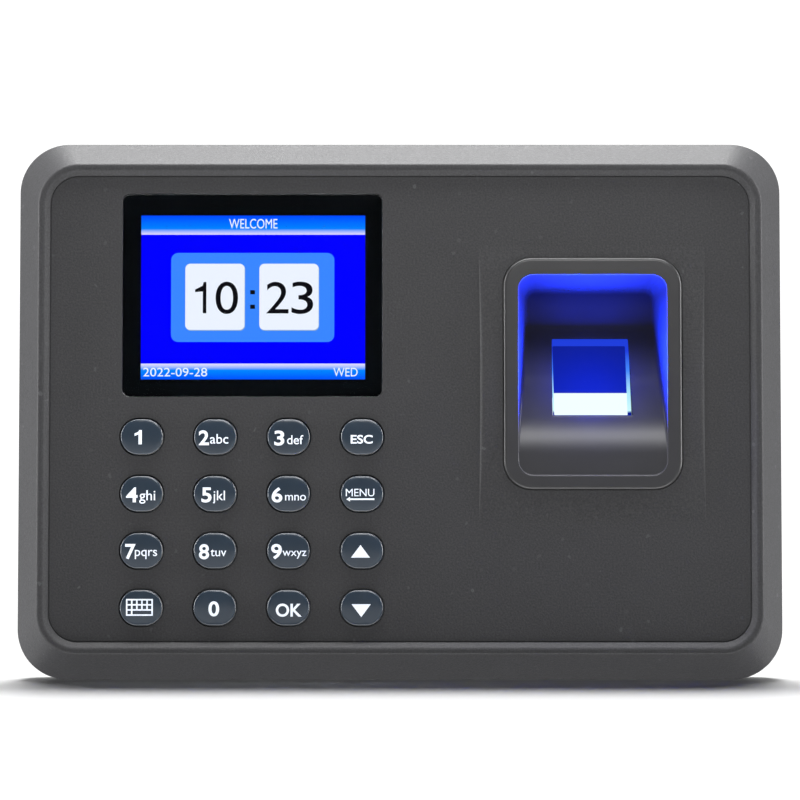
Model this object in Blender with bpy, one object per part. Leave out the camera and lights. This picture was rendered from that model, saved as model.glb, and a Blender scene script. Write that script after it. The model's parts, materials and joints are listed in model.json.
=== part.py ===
"""A wall-mounted fingerprint attendance terminal: keypad, screen, finger rest, optical sensor, boards,
two casing shells and a steel wall plate, each piece its own closed object.

Frame: metres, +Z up, +X to the viewer's right, the front faces -Y. The origin is the centre of the wall
plate's back face, which lies on the wall plane Y = 0. A depth is a distance behind the front rim's plane,
and a pair (x, z) is a place on the front, so an outline is a list of such pairs.
"""

import math

import bmesh
import bpy

MM = 0.001
GAP = 0.3 * MM  # between pieces that rest on or lie in each other

# Overall
WIDTH = 185 * MM
HEIGHT = 130 * MM
DEPTH = 31 * MM
CORNER_RADIUS = 12 * MM
CORNER_STEPS = 5
WALL = 2.2 * MM

# Front shell: a sloping skirt, a flat rim, an inner chamfer and the sunk panel
SKIRT_INSET_X = 6.1 * MM
SKIRT_INSET_Z = 6.6 * MM
SKIRT_DEPTH = 13 * MM
PARTING_DEPTH = 14 * MM
RIM_RADIUS = 9.6 * MM
RIM_WIDTH = 1.3 * MM
CHAMFER_WIDTH = 1.35 * MM
PANEL_DEPTH = 1.3 * MM
PANEL_BACK = 3.3 * MM
LIP_DEPTH = 1.0 * MM
LIP_THICKNESS = 1.2 * MM

# Screen
SCREEN_CENTRE = (-35.3 * MM, 27.1 * MM)
WINDOW_SIZE = (62 * MM, 48.6 * MM)
WINDOW_RADIUS = 1.7 * MM
WINDOW_FRONT = 1.4 * MM
WINDOW_BACK = 2.9 * MM
LEDGE_OPENING = (56 * MM, 42 * MM)
LEDGE_BACK = 4.2 * MM
DISPLAY_SIZE = (60.4 * MM, 44.4 * MM)
TRAY_SIZE = (65.4 * MM, 47.6 * MM)

# Keypad
KEY_PITCH = (17.5 * MM, 13.55 * MM)
KEYPAD_CENTRE = (-35.3 * MM, -27.2 * MM)
KEY_SIZE = (10.1 * MM, 8.45 * MM)
KEY_CORNER = (3.4 * MM, 4.2 * MM)  # the corners' radii along X and Z
KEY_HOLE_GAP = 0.25 * MM
KEY_TOP = 0.35 * MM
KEY_FLANGE = 0.75 * MM
KEY_STEM = (5.6 * MM, 4.4 * MM)
KEY_TRAVEL = 0.8 * MM  # from rest until the stem closes the contact on the board
KEY_NAMES = (
    ("key_1", "key_2", "key_3", "key_escape"),
    ("key_4", "key_5", "key_6", "key_menu"),
    ("key_7", "key_8", "key_9", "key_up"),
    ("key_input_mode", "key_0", "key_ok", "key_down"),
)

# Finger guide: a raised collar round a tapered pocket with a sloping rest
PLATEAU_CENTRE = (45.9 * MM, 5.75 * MM)
PLATEAU_SIZE = (54.3 * MM, 70 * MM)
PLATEAU_RISE = 0.6 * MM
COLLAR_CENTRE = (46.0 * MM, 8.3 * MM)
COLLAR_SIZE = (42.7 * MM, 55.5 * MM)
COLLAR_RADIUS = 6.8 * MM
POCKET_SIZE = (35.5 * MM, 48.0 * MM)
POCKET_RADIUS = 3.6 * MM
POCKET_END_RADIUS = 2.4 * MM
POCKET_DRAFT = (0.18, 0.21)  # inwards per unit of depth, along X and Z
POCKET_DEPTH = 12 * MM
GUIDE_THICKNESS = 1.6 * MM
GUIDE_FLANGE_SIZE = (57 * MM, 61.5 * MM)
GUIDE_FLANGE_FRONT = 5.3 * MM
GUIDE_FLANGE_BACK = 6.9 * MM
REST_TOP_Z = 19.8 * MM  # where the sloping rest meets the pocket's back wall
REST_BEND_Z = -6.2 * MM  # where it bends over into the lip
REST_BEND_HALF = 3 * MM  # the bend reaches this far above and below
LIP_FACE_DEPTH = 0.5 * MM
SENSOR_OPENING = (19.2 * MM, 19.5 * MM)
SENSOR_OPENING_Z = 7.9 * MM

# Sensor module, in the sloping rest's own frame
REST_SLOPE = math.atan2(POCKET_DEPTH - LIP_FACE_DEPTH, REST_TOP_Z - REST_BEND_Z)
PRISM_SIZE = (18.6 * MM, 13.6 * MM)
LIGHT_BAR_HEIGHT = 6.7 * MM
HOUSING_SIZE = (25.6 * MM, 24.4 * MM)
HOUSING_BACK = 11.4 * MM
SENSOR_BOARD_BACK = 12.9 * MM

# Boards
BOARD_THICKNESS = 1.6 * MM
FRONT_BOARD_FRONT = 8.0 * MM
FRONT_BOARD_CENTRE = (-35.5 * MM, -1 * MM)
FRONT_BOARD_SIZE = (81 * MM, 115 * MM)
FRONT_POSTS = [(x * MM, z * MM) for x in (-72.5, 1.5) for z in (53.5, -55.5)]
MAIN_BOARD_FRONT = 22.0 * MM
MAIN_BOARD_CENTRE = (-31 * MM, -10 * MM)
MAIN_BOARD_SIZE = (106 * MM, 72 * MM)
MAIN_POSTS = [(x * MM, z * MM) for x in (-80, 18) for z in (22, -42)]
GUIDE_POSTS = [(x * MM, z * MM) for x in (20.6, 71.4) for z in (30.3, -13.7)]
CASE_POSTS = [(x * MM, z * MM) for x in (-80.2, 80.2) for z in (51.5, -51.5)]

# Back shell and wall plate
BACK_INSET = 0.3 * MM
BACK_DRAFT = 0.8 * MM
BACK_FACE = 30 * MM
BACK_INNER = 28 * MM
POCKET_FLOOR = 27.8 * MM
PAD_FRONT = 25.8 * MM
PLATE_SIZE = (108 * MM, 80 * MM)
PLATE_FRONT = 29.6 * MM
PLATE_THICKNESS = DEPTH - PLATE_FRONT
TONGUE_WIDTH = 18 * MM
TONGUE_BOTTOM = -64.4 * MM
HOOK_LIFT = 5 * MM  # how far the terminal is lifted to come off its hooks
HOOK_X = 40 * MM
HOOK_Z = 32 * MM
HOOK_WIDTH = 8 * MM
SPEAKER_CENTRE = (72 * MM, -14 * MM)
SPEAKER_RADIUS = 14 * MM

# Sockets on the main board's left edge, facing -X
USB_Z = -6 * MM
USB_SIZE = (13.2 * MM, 5.8 * MM)
USB_FACE_X = -91 * MM
DC_Z = -26 * MM
DC_SIZE = (9 * MM, 7.4 * MM)
DC_FACE_X = -89.4 * MM
SOCKET_LENGTH = 14 * MM


def y_at(depth):
    """The Y coordinate of a depth behind the front rim's plane."""
    return depth - DEPTH


# ---------------------------------------------------------------- outlines and meshes


def rounded_rect(size, radius, centre=(0, 0), steps=CORNER_STEPS, side_steps=1):
    """A rectangle with elliptical corners, anticlockwise seen from the front. radius is one number or (x, z)."""
    radius_x, radius_z = radius if isinstance(radius, tuple) else (radius, radius)
    corners = []
    for quarter, (side_x, side_z) in enumerate(((1, 1), (-1, 1), (-1, -1), (1, -1))):
        x = centre[0] + side_x * (size[0] / 2 - radius_x)
        z = centre[1] + side_z * (size[1] / 2 - radius_z)
        angles = [(quarter + step / steps) * math.pi / 2 for step in range(steps + 1)]
        corners.append([(x + radius_x * math.cos(a), z + radius_z * math.sin(a)) for a in angles])
    points = []
    for index, corner in enumerate(corners):
        points += corner
        end, start = corner[-1], corners[(index + 1) % 4][0]
        for step in range(1, side_steps):
            share = step / side_steps
            points.append(tuple(a + (b - a) * share for a, b in zip(end, start)))
    return points


def circle(radius, centre=(0, 0), steps=16):
    angles = [2 * math.pi * step / steps for step in range(steps)]
    return [(centre[0] + radius * math.cos(a), centre[1] + radius * math.sin(a)) for a in angles]


def grown(size, amount):
    """A (width, height) with this much added all round."""
    return tuple(side + 2 * amount for side in size)


def ring(outline, y):
    return [(x, y, z) for x, z in outline]


def add_loft(mesh, rings, capped=True):
    """Joins rings of equally many points by quads. Uncapped, the last ring joins the first."""
    made = [[mesh.verts.new(point) for point in points] for points in rings]
    pairs = list(zip(made, made[1:]))
    if capped:
        mesh.faces.new(made[0])
        mesh.faces.new(made[-1])
    else:
        pairs.append((made[-1], made[0]))
    for first, second in pairs:
        for i in range(len(first)):
            j = (i + 1) % len(first)
            mesh.faces.new((first[i], first[j], second[j], second[i]))


def finish_mesh(name, mesh):
    bmesh.ops.recalc_face_normals(mesh, faces=mesh.faces)
    data = bpy.data.meshes.new(name)
    mesh.to_mesh(data)
    mesh.free()
    data.shade_smooth()
    data.set_sharp_from_angle(angle=math.radians(35))
    return data


def add_object(name, data, material=None, location=(0, 0, 0), parent=None, tilt=0):
    made = bpy.data.objects.new(name, data)
    bpy.context.scene.collection.objects.link(made)
    made.location = location
    made.rotation_euler = (tilt, 0, 0)
    made.parent = parent
    if material and not data.materials:
        data.materials.append(material)
    return made


def loft(name, rings, material=None, capped=True, **place):
    mesh = bmesh.new()
    add_loft(mesh, rings, capped)
    return add_object(name, finish_mesh(name, mesh), material, **place)


def prisms(name, outlines, front, back, material=None, **place):
    """One object of straight prisms, each from its outline, between two Y coordinates."""
    mesh = bmesh.new()
    for outline in outlines:
        add_loft(mesh, [ring(outline, front), ring(outline, back)])
    return add_object(name, finish_mesh(name, mesh), material, **place)


def turned(name, profile, material=None, steps=16, axis="Y", **place):
    """A solid of revolution about its own Y, X or Z axis, from (radius, distance along the axis) pairs."""
    order = {"Y": (0, 1, 2), "X": (1, 0, 2), "Z": (0, 2, 1)}[axis]
    rings = []
    for radius, along in profile:
        points = ring(circle(radius, steps=steps), along)
        rings.append([tuple(point[i] for i in order) for point in points])
    return loft(name, rings, material, **place)


def box_outline(low, high):
    return [(high[0], high[1]), (low[0], high[1]), (low[0], low[1]), (high[0], low[1])]


def change(target, operation, *tools):
    """Adds a Boolean of each tool to the target and hides the tool."""
    for tool in tools:
        modifier = target.modifiers.new(tool.name, "BOOLEAN")
        modifier.operation = operation
        modifier.object = tool
        tool.hide_render = True
        tool.display_type = "WIRE"
    return target


def cut(target, *tools):
    return change(target, "DIFFERENCE", *tools)


def join(target, *tools):
    return change(target, "UNION", *tools)


# ---------------------------------------------------------------- materials


def make_material(name, colour, roughness, metallic=0.0, glow=None):
    material = bpy.data.materials.new(name)
    material.use_nodes = True
    shader = material.node_tree.nodes["Principled BSDF"]
    shader.inputs["Base Color"].default_value = (*colour, 1)
    shader.inputs["Roughness"].default_value = roughness
    shader.inputs["Metallic"].default_value = metallic
    if glow:
        shader.inputs["Emission Color"].default_value = (*glow, 1)
        shader.inputs["Emission Strength"].default_value = 1
    return material


def make_materials():
    return {
        "casing": make_material("casing", (0.052, 0.053, 0.056), 0.55),
        "guide": make_material("guide", (0.06, 0.06, 0.064), 0.35),
        "window": make_material("window", (0.004, 0.005, 0.006), 0.08),
        "display": make_material("display", (0.0, 0.0, 0.9), 0.2, glow=(0.0, 0.0, 1.0)),
        "tray": make_material("tray", (0.75, 0.76, 0.78), 0.4, metallic=0.8),
        "foam": make_material("foam", (0.02, 0.02, 0.02), 0.9),
        "key": make_material("key", (0.035, 0.05, 0.07), 0.25),
        "rubber": make_material("rubber", (0.08, 0.08, 0.085), 0.8),
        "board": make_material("board", (0.01, 0.12, 0.05), 0.4),
        "chip": make_material("chip", (0.015, 0.015, 0.016), 0.5),
        "prism": make_material("prism", (0.02, 0.05, 0.6), 0.05, glow=(0.0, 0.02, 0.35)),
        "light": make_material("light", (0.8, 0.95, 1.0), 0.3, glow=(0.7, 0.95, 1.0)),
        "steel": make_material("steel", (0.6, 0.61, 0.62), 0.4, metallic=1.0),
        "cable": make_material("cable", (0.5, 0.5, 0.5), 0.5),
    }


# ---------------------------------------------------------------- front shell


def front_shell(materials):
    """The front cup: skirt, rim, chamfer and panel, with its openings, screw posts and raised area."""
    full = (WIDTH, HEIGHT)
    rim = (WIDTH - 2 * SKIRT_INSET_X, HEIGHT - 2 * SKIRT_INSET_Z)
    rim_inner = grown(rim, -RIM_WIDTH)
    panel = grown(rim_inner, -CHAMFER_WIDTH)
    panel_radius = RIM_RADIUS - RIM_WIDTH - CHAMFER_WIDTH
    lip = grown(full, -LIP_THICKNESS)
    inner = grown(full, -WALL)
    inner_panel = grown(panel, 0.6 * MM)
    sections = (
        (panel, panel_radius, PANEL_DEPTH),
        (rim_inner, RIM_RADIUS - RIM_WIDTH, 0),
        (rim, RIM_RADIUS, 0),
        (full, CORNER_RADIUS, SKIRT_DEPTH),
        (full, CORNER_RADIUS, PARTING_DEPTH),
        (lip, CORNER_RADIUS - LIP_THICKNESS, PARTING_DEPTH),
        (lip, CORNER_RADIUS - LIP_THICKNESS, PARTING_DEPTH + LIP_DEPTH),
        (inner, CORNER_RADIUS - WALL, PARTING_DEPTH + LIP_DEPTH),
        (inner, CORNER_RADIUS - WALL, SKIRT_DEPTH),
        (inner_panel, panel_radius, PANEL_BACK),
    )
    rings = [ring(rounded_rect(size, radius), y_at(depth)) for size, radius, depth in sections]
    shell = loft("front_shell", rings, materials["casing"])

    seat = grown(WINDOW_SIZE, GAP)
    screen_pad = prisms(
        "screen_pad",
        [rounded_rect(grown(seat, 2 * MM), 2 * MM, SCREEN_CENTRE, 2)],
        y_at(PANEL_BACK - 0.5 * MM),
        y_at(LEDGE_BACK),
    )
    join(shell, screen_pad, raised_area(), *shell_posts())

    window_seat = prisms(
        "window_seat_cut",
        [rounded_rect(seat, WINDOW_RADIUS, SCREEN_CENTRE, 3)],
        y_at(-MM),
        y_at(WINDOW_BACK + GAP),
    )
    window_opening = prisms(
        "window_opening_cut",
        [rounded_rect(LEDGE_OPENING, 1 * MM, SCREEN_CENTRE, 2)],
        y_at(WINDOW_FRONT),
        y_at(LEDGE_BACK + MM),
    )
    guide_opening = prisms(
        "guide_opening_cut",
        [rounded_rect(grown(COLLAR_SIZE, GAP), COLLAR_RADIUS + GAP, COLLAR_CENTRE)],
        y_at(-2 * MM),
        y_at(PANEL_BACK + 2 * MM),
    )
    key_holes = prisms(
        "key_holes_cut",
        [key_outline(KEY_HOLE_GAP, centre) for centre in key_centres()],
        y_at(0),
        y_at(PANEL_BACK + MM),
    )
    return cut(shell, window_seat, window_opening, guide_opening, key_holes, *post_holes())


def raised_area():
    """The area round the finger guide swells out of the panel and fades into it at the top and bottom."""
    half = PLATEAU_SIZE[1] / 2
    sink = 0.1 * MM  # the arc's ends lie this far under the panel
    steps = 10
    profile = []
    for step in range(steps + 1):
        z = -half + 2 * half * step / steps
        rise = (PLATEAU_RISE + sink) * (1 - (z / half) ** 2) - sink
        profile.append((y_at(PANEL_DEPTH - rise), PLATEAU_CENTRE[1] + z))
    behind = y_at(PANEL_DEPTH + 1 * MM)
    profile += [(behind, PLATEAU_CENTRE[1] + half), (behind, PLATEAU_CENTRE[1] - half)]
    ends = [PLATEAU_CENTRE[0] + side * PLATEAU_SIZE[0] / 2 for side in (-1, 1)]
    return loft("raised_area", [[(x, y, z) for y, z in profile] for x in ends])


def shell_posts():
    """Round posts behind the panel for the casing, front board and finger guide screws."""
    start = y_at(PANEL_BACK - 0.5 * MM)
    case = [circle(3.1 * MM, centre, 12) for centre in CASE_POSTS]
    board = [circle(2.3 * MM, centre, 10) for centre in FRONT_POSTS]
    guide = [circle(2.5 * MM, centre, 10) for centre in GUIDE_POSTS]
    return (
        prisms("case_posts", case, start, y_at(PARTING_DEPTH - GAP)),
        prisms("board_posts", board, start, y_at(FRONT_BOARD_FRONT - GAP)),
        prisms("guide_posts", guide, start, y_at(GUIDE_FLANGE_FRONT - GAP)),
    )


def post_holes():
    case = [circle(1.25 * MM, centre, 8) for centre in CASE_POSTS]
    small = [circle(1.05 * MM, centre, 8) for centre in FRONT_POSTS + GUIDE_POSTS]
    return (
        prisms("case_post_holes_cut", case, y_at(4.5 * MM), y_at(PARTING_DEPTH + MM)),
        prisms("small_post_holes_cut", small, y_at(2.4 * MM), y_at(FRONT_BOARD_FRONT + MM)),
    )


# ---------------------------------------------------------------- screen


def screen(materials):
    prisms(
        "screen_window",
        [rounded_rect(WINDOW_SIZE, WINDOW_RADIUS, steps=3)],
        0,
        WINDOW_BACK - WINDOW_FRONT,
        materials["window"],
        location=(SCREEN_CENTRE[0], y_at(WINDOW_FRONT), SCREEN_CENTRE[1]),
    )
    gasket_front = LEDGE_BACK + GAP
    frame_plate(
        "display_gasket",
        (59.6 * MM, 44.6 * MM),
        (55 * MM, 41 * MM),
        SCREEN_CENTRE,
        y_at(gasket_front),
        y_at(gasket_front + 0.5 * MM),
        materials["foam"],
    )
    panel_front = gasket_front + 0.5 * MM + GAP
    prisms(
        "display_panel",
        [rounded_rect(DISPLAY_SIZE, 0.5 * MM, steps=2)],
        0,
        1.1 * MM,
        materials["display"],
        location=(SCREEN_CENTRE[0], y_at(panel_front), SCREEN_CENTRE[1]),
    )
    tray = prisms(
        "display_tray",
        [rounded_rect(TRAY_SIZE, 1 * MM, SCREEN_CENTRE, 2)],
        y_at(panel_front + 0.4 * MM),
        y_at(FRONT_BOARD_FRONT - GAP),
        materials["tray"],
    )
    hollow = prisms(
        "display_tray_cut",
        [rounded_rect(grown(DISPLAY_SIZE, GAP), 0.6 * MM, SCREEN_CENTRE, 2)],
        y_at(panel_front - MM),
        y_at(panel_front + 1.1 * MM + GAP),
    )
    cut(tray, hollow)


def frame_plate(name, outer, inner, centre, front, back, material):
    """A flat rectangular ring between two Y coordinates."""
    outlines = [rounded_rect(size, 1 * MM, centre, 2) for size in (outer, inner)]
    order = ((0, front), (0, back), (1, back), (1, front))
    return loft(name, [ring(outlines[i], y) for i, y in order], material, capped=False)


# ---------------------------------------------------------------- keypad


def key_centres():
    """The keys' places, row by row from the top left."""
    places = []
    for row in range(4):
        z = KEYPAD_CENTRE[1] + (1.5 - row) * KEY_PITCH[1]
        places += [(KEYPAD_CENTRE[0] + (column - 1.5) * KEY_PITCH[0], z) for column in range(4)]
    return places


def key_outline(growth, centre=(0, 0), steps=2):
    corner = tuple(radius + growth for radius in KEY_CORNER)
    return rounded_rect(grown(KEY_SIZE, growth), corner, centre, steps)


def keys(materials):
    """Sixteen keys on one mesh. A key's own origin is the middle of its crown, and it slides along Y."""
    flange_front = PANEL_BACK + GAP - KEY_TOP
    flange_back = flange_front + 0.8 * MM
    stem_end = FRONT_BOARD_FRONT - GAP - KEY_TRAVEL - KEY_TOP
    stem = rounded_rect(KEY_STEM, 2 * MM, steps=2)
    rings = [
        ring(key_outline(-2.2 * MM), 0),
        ring(key_outline(-0.7 * MM), 0.12 * MM),
        ring(key_outline(-0.2 * MM), 0.3 * MM),
        ring(key_outline(0), 0.65 * MM),
        ring(key_outline(0), flange_front),
        ring(key_outline(KEY_FLANGE), flange_front),
        ring(key_outline(KEY_FLANGE), flange_back),
        ring(stem, flange_back),
        ring(stem, stem_end),
    ]
    mesh = bmesh.new()
    add_loft(mesh, rings)
    shared = finish_mesh("key", mesh)
    names = [name for row in KEY_NAMES for name in row]
    for name, (x, z) in zip(names, key_centres()):
        add_object(name, shared, materials["key"], location=(x, y_at(KEY_TOP), z))


def keypad_mat(materials):
    """The silicone sheet on the front board, with a raised skirt round each key's stem."""
    sheet_front = 6.7 * MM
    sheet_back = FRONT_BOARD_FRONT - GAP
    mat = prisms(
        "keypad_mat",
        [rounded_rect((69 * MM, 53 * MM), 3 * MM, KEYPAD_CENTRE, 2)],
        y_at(sheet_front),
        y_at(sheet_back),
        materials["rubber"],
    )
    skirt = grown(KEY_STEM, 1.7 * MM)
    hole = grown(KEY_STEM, 0.6 * MM)
    skirts = [rounded_rect(skirt, 2 * MM, centre, 1) for centre in key_centres()]
    holes = [rounded_rect(hole, 1.5 * MM, centre, 1) for centre in key_centres()]
    join(mat, prisms("mat_skirts", skirts, y_at(5.6 * MM), y_at(sheet_front + 0.4 * MM)))
    cut(mat, prisms("mat_holes_cut", holes, y_at(5 * MM), y_at(FRONT_BOARD_FRONT + MM)))


# ---------------------------------------------------------------- finger guide


def rest_depth(z):
    """The depth of the pocket's back surface at a height: the lip, its bend, the slope and the back wall."""
    slope = math.tan(REST_SLOPE)
    above = z - REST_BEND_Z
    if above <= -REST_BEND_HALF:
        return LIP_FACE_DEPTH
    if above < REST_BEND_HALF:
        return LIP_FACE_DEPTH + slope * (above + REST_BEND_HALF) ** 2 / (4 * REST_BEND_HALF)
    return min(LIP_FACE_DEPTH + slope * above, POCKET_DEPTH)


def guide_outline(size, radius, centre=COLLAR_CENTRE):
    return rounded_rect(size, radius, centre, steps=4, side_steps=6)


def pocket_section(depth, growth=0.0):
    """The pocket's outline at a depth. growth moves it outwards, for the guide's hidden side."""
    size = tuple(side + 2 * (growth - draft * depth) for side, draft in zip(POCKET_SIZE, POCKET_DRAFT))
    share = depth / POCKET_DEPTH
    radius = POCKET_RADIUS + (POCKET_END_RADIUS - POCKET_RADIUS) * share + growth
    return guide_outline(size, radius)


def pocket_foot(growth=0.0):
    """Where the pocket's wall meets its back surface, as (x, depth, z): found point by point."""
    points = []
    for index in range(len(pocket_section(0))):
        depth = 0.0
        for _ in range(30):
            x, z = pocket_section(depth, growth)[index]
            depth = rest_depth(z)
        points.append((x, depth, z))
    return points


def finger_guide(materials):
    """One moulding: collar, tapered pocket, sloping finger rest with the sensor opening, and rear flange."""
    opening = guide_outline(SENSOR_OPENING, 0.8 * MM, (COLLAR_CENTRE[0], SENSOR_OPENING_Z))
    collar_inner = guide_outline(grown(POCKET_SIZE, 0.25 * MM), POCKET_RADIUS + 0.25 * MM)
    collar_face = guide_outline(grown(COLLAR_SIZE, -0.5 * MM), COLLAR_RADIUS - 0.5 * MM)
    collar = guide_outline(COLLAR_SIZE, COLLAR_RADIUS)
    flange = guide_outline(GUIDE_FLANGE_SIZE, COLLAR_RADIUS)
    back_foot = pocket_foot(GUIDE_THICKNESS)
    skirt = pocket_section(0, GUIDE_THICKNESS)

    def slope_ring(foot, share, behind):
        """A ring on the back surface between the pocket's foot and the sensor opening."""
        points = []
        for (x, _, z), (end_x, end_z) in zip(foot, opening):
            place = (x + (end_x - x) * share, z + (end_z - z) * share)
            points.append((place[0], y_at(rest_depth(place[1]) + behind), place[1]))
        return points

    behind = GUIDE_THICKNESS / math.cos(REST_SLOPE)
    shares = (1, 0.66, 0.33, 0)
    rings = [slope_ring(pocket_foot(), share, 0) for share in shares]
    rings += [
        ring(pocket_section(0.25 * MM), y_at(0.25 * MM)),
        ring(collar_inner, y_at(0)),
        ring(collar_face, y_at(0)),
        ring(collar, y_at(0.5 * MM)),
        ring(collar, y_at(GUIDE_FLANGE_FRONT)),
        ring(flange, y_at(GUIDE_FLANGE_FRONT)),
        ring(flange, y_at(GUIDE_FLANGE_BACK)),
        ring(skirt, y_at(GUIDE_FLANGE_BACK)),
    ]
    rings += [slope_ring(back_foot, share, behind) for share in reversed(shares)]
    guide = loft("finger_guide", rings, materials["guide"], capped=False)
    holes = [circle(1.5 * MM, centre, 10) for centre in GUIDE_POSTS]
    clearance = prisms(
        "guide_holes_cut", holes, y_at(GUIDE_FLANGE_FRONT - MM), y_at(GUIDE_FLANGE_BACK + MM)
    )
    return cut(guide, clearance)


# ---------------------------------------------------------------- sensor module


def sensor_module(materials):
    """Prism, light bar, housing, lens and board, square to the sloping rest and held to its back."""
    base = bpy.data.objects.new("sensor_axis", None)
    bpy.context.scene.collection.objects.link(base)
    base.location = (COLLAR_CENTRE[0], y_at(rest_depth(SENSOR_OPENING_Z)), SENSOR_OPENING_Z)
    base.rotation_euler = (-REST_SLOPE, 0, 0)

    seat = GUIDE_THICKNESS + GAP
    light_low = -SENSOR_OPENING[1] / 2 - 0.5 * MM
    light_high = light_low + LIGHT_BAR_HEIGHT
    prism_low = light_high + GAP
    prism_back = seat + 6.2 * MM
    half_width = PRISM_SIZE[0] / 2
    prism = box_outline((-half_width, prism_low), (half_width, prism_low + PRISM_SIZE[1]))
    light = box_outline((-half_width, light_low), (half_width, light_high))
    prisms("sensor_prism", [prism], seat, prism_back, materials["prism"], parent=base)
    prisms("light_bar", [light], seat, seat + 3 * MM, materials["light"], parent=base)

    housing = prisms(
        "sensor_housing",
        [rounded_rect(HOUSING_SIZE, 1 * MM, steps=2)],
        seat,
        HOUSING_BACK,
        materials["chip"],
        parent=base,
    )
    middle = (light_low + prism_low + PRISM_SIZE[1]) / 2
    cavity_size = grown((PRISM_SIZE[0], prism_low + PRISM_SIZE[1] - light_low), GAP)
    cavity = prisms(
        "housing_cavity_cut",
        [rounded_rect(cavity_size, 0.4 * MM, (0, middle), 1)],
        seat - MM,
        prism_back + GAP,
        parent=base,
    )
    bore = prisms(
        "housing_bore_cut",
        [circle(4.3 * MM, (0, middle), 14)],
        prism_back,
        HOUSING_BACK + MM,
        parent=base,
    )
    cut(housing, cavity, bore)
    lens_front = prism_back + GAP
    turned(
        "sensor_lens",
        (
            (2.4 * MM, lens_front),
            (4 * MM, lens_front + 0.6 * MM),
            (4 * MM, HOUSING_BACK),
        ),
        materials["chip"],
        location=(0, 0, middle),
        parent=base,
    )
    board_front = HOUSING_BACK + GAP
    board = prisms(
        "sensor_board",
        [rounded_rect((28 * MM, 24 * MM), 1 * MM, steps=2)],
        board_front,
        SENSOR_BOARD_BACK,
        materials["board"],
        parent=base,
    )
    connector = prisms(
        "sensor_connector",
        [box_outline((-6 * MM, -10 * MM), (6 * MM, -6 * MM))],
        SENSOR_BOARD_BACK - 0.3 * MM,
        SENSOR_BOARD_BACK + 3 * MM,
        parent=base,
    )
    join(board, connector)


# ---------------------------------------------------------------- boards


def front_board(materials):
    """The board behind the keypad and screen, with its ribbon connector."""
    board = prisms(
        "front_board",
        [rounded_rect(FRONT_BOARD_SIZE, 2 * MM, FRONT_BOARD_CENTRE, 2)],
        y_at(FRONT_BOARD_FRONT),
        y_at(FRONT_BOARD_FRONT + BOARD_THICKNESS),
        materials["board"],
    )
    connector = prisms(
        "front_connector",
        [box_outline((-22 * MM, -2 * MM), (-6 * MM, 3 * MM))],
        y_at(FRONT_BOARD_FRONT + BOARD_THICKNESS - 0.3 * MM),
        y_at(FRONT_BOARD_FRONT + BOARD_THICKNESS + 2.2 * MM),
    )
    holes = [circle(1.4 * MM, centre, 10) for centre in FRONT_POSTS]
    drilled = prisms(
        "front_board_holes_cut",
        holes,
        y_at(FRONT_BOARD_FRONT - MM),
        y_at(FRONT_BOARD_FRONT + BOARD_THICKNESS + MM),
    )
    return cut(join(board, connector), drilled)


def main_board(materials):
    """The processor board in the back shell, with the parts soldered to its front side."""
    front = y_at(MAIN_BOARD_FRONT)
    back = y_at(MAIN_BOARD_FRONT + BOARD_THICKNESS)
    board = prisms(
        "main_board",
        [rounded_rect(MAIN_BOARD_SIZE, 1.5 * MM, MAIN_BOARD_CENTRE, 2)],
        front,
        back,
        materials["board"],
    )
    sunk = front + 0.3 * MM
    connectors = prisms(
        "board_connectors",
        [
            box_outline((-22 * MM, -3 * MM), (-6 * MM, 2 * MM)),
            box_outline((12 * MM, -6 * MM), (18 * MM, 6 * MM)),
            box_outline((12 * MM, -20 * MM), (18 * MM, -14 * MM)),
        ],
        front - 3.5 * MM,
        sunk,
    )
    capacitors = prisms(
        "board_capacitors",
        [circle(3.2 * MM, (x * MM, -38 * MM), 12) for x in (-66, -57)],
        front - 7 * MM,
        sunk,
    )
    regulator = prisms(
        "board_regulator",
        [box_outline((-72 * MM, 10 * MM), (-62 * MM, 17 * MM))],
        front - 2.2 * MM,
        sunk,
    )
    holes = [circle(1.4 * MM, centre, 10) for centre in MAIN_POSTS]
    drilled = prisms("main_board_holes_cut", holes, front - MM, back + MM)
    cut(join(board, connectors, capacitors, regulator), drilled)

    prisms(
        "processor_chip",
        [rounded_rect((14 * MM, 14 * MM), 0.3 * MM, steps=1)],
        -1.6 * MM - GAP,
        -GAP,
        materials["chip"],
        location=(-44 * MM, front, -14 * MM),
    )
    coin_cell(materials, front)
    sockets(materials)


def coin_cell(materials, board_front):
    """A 12.5 mm clock battery in its round holder."""
    centre = (-20 * MM, 0, -30 * MM)
    holder_depth = 3.4 * MM
    holder = turned(
        "coin_cell_holder",
        ((8 * MM, -GAP - holder_depth), (8 * MM, -GAP)),
        materials["chip"],
        location=(centre[0], board_front, centre[2]),
    )
    cell_depth = 2.5 * MM
    well = turned(
        "coin_cell_holder_cut",
        ((6.55 * MM, -GAP - holder_depth - MM), (6.55 * MM, -GAP - 0.8 * MM)),
        location=(centre[0], board_front, centre[2]),
    )
    cut(holder, well)
    turned(
        "coin_cell",
        (
            (5.6 * MM, -1.4 * MM - cell_depth),
            (6.25 * MM, -1.4 * MM - cell_depth + 0.5 * MM),
            (6.25 * MM, -1.4 * MM),
        ),
        materials["steel"],
        location=(centre[0], board_front, centre[2]),
    )


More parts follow.
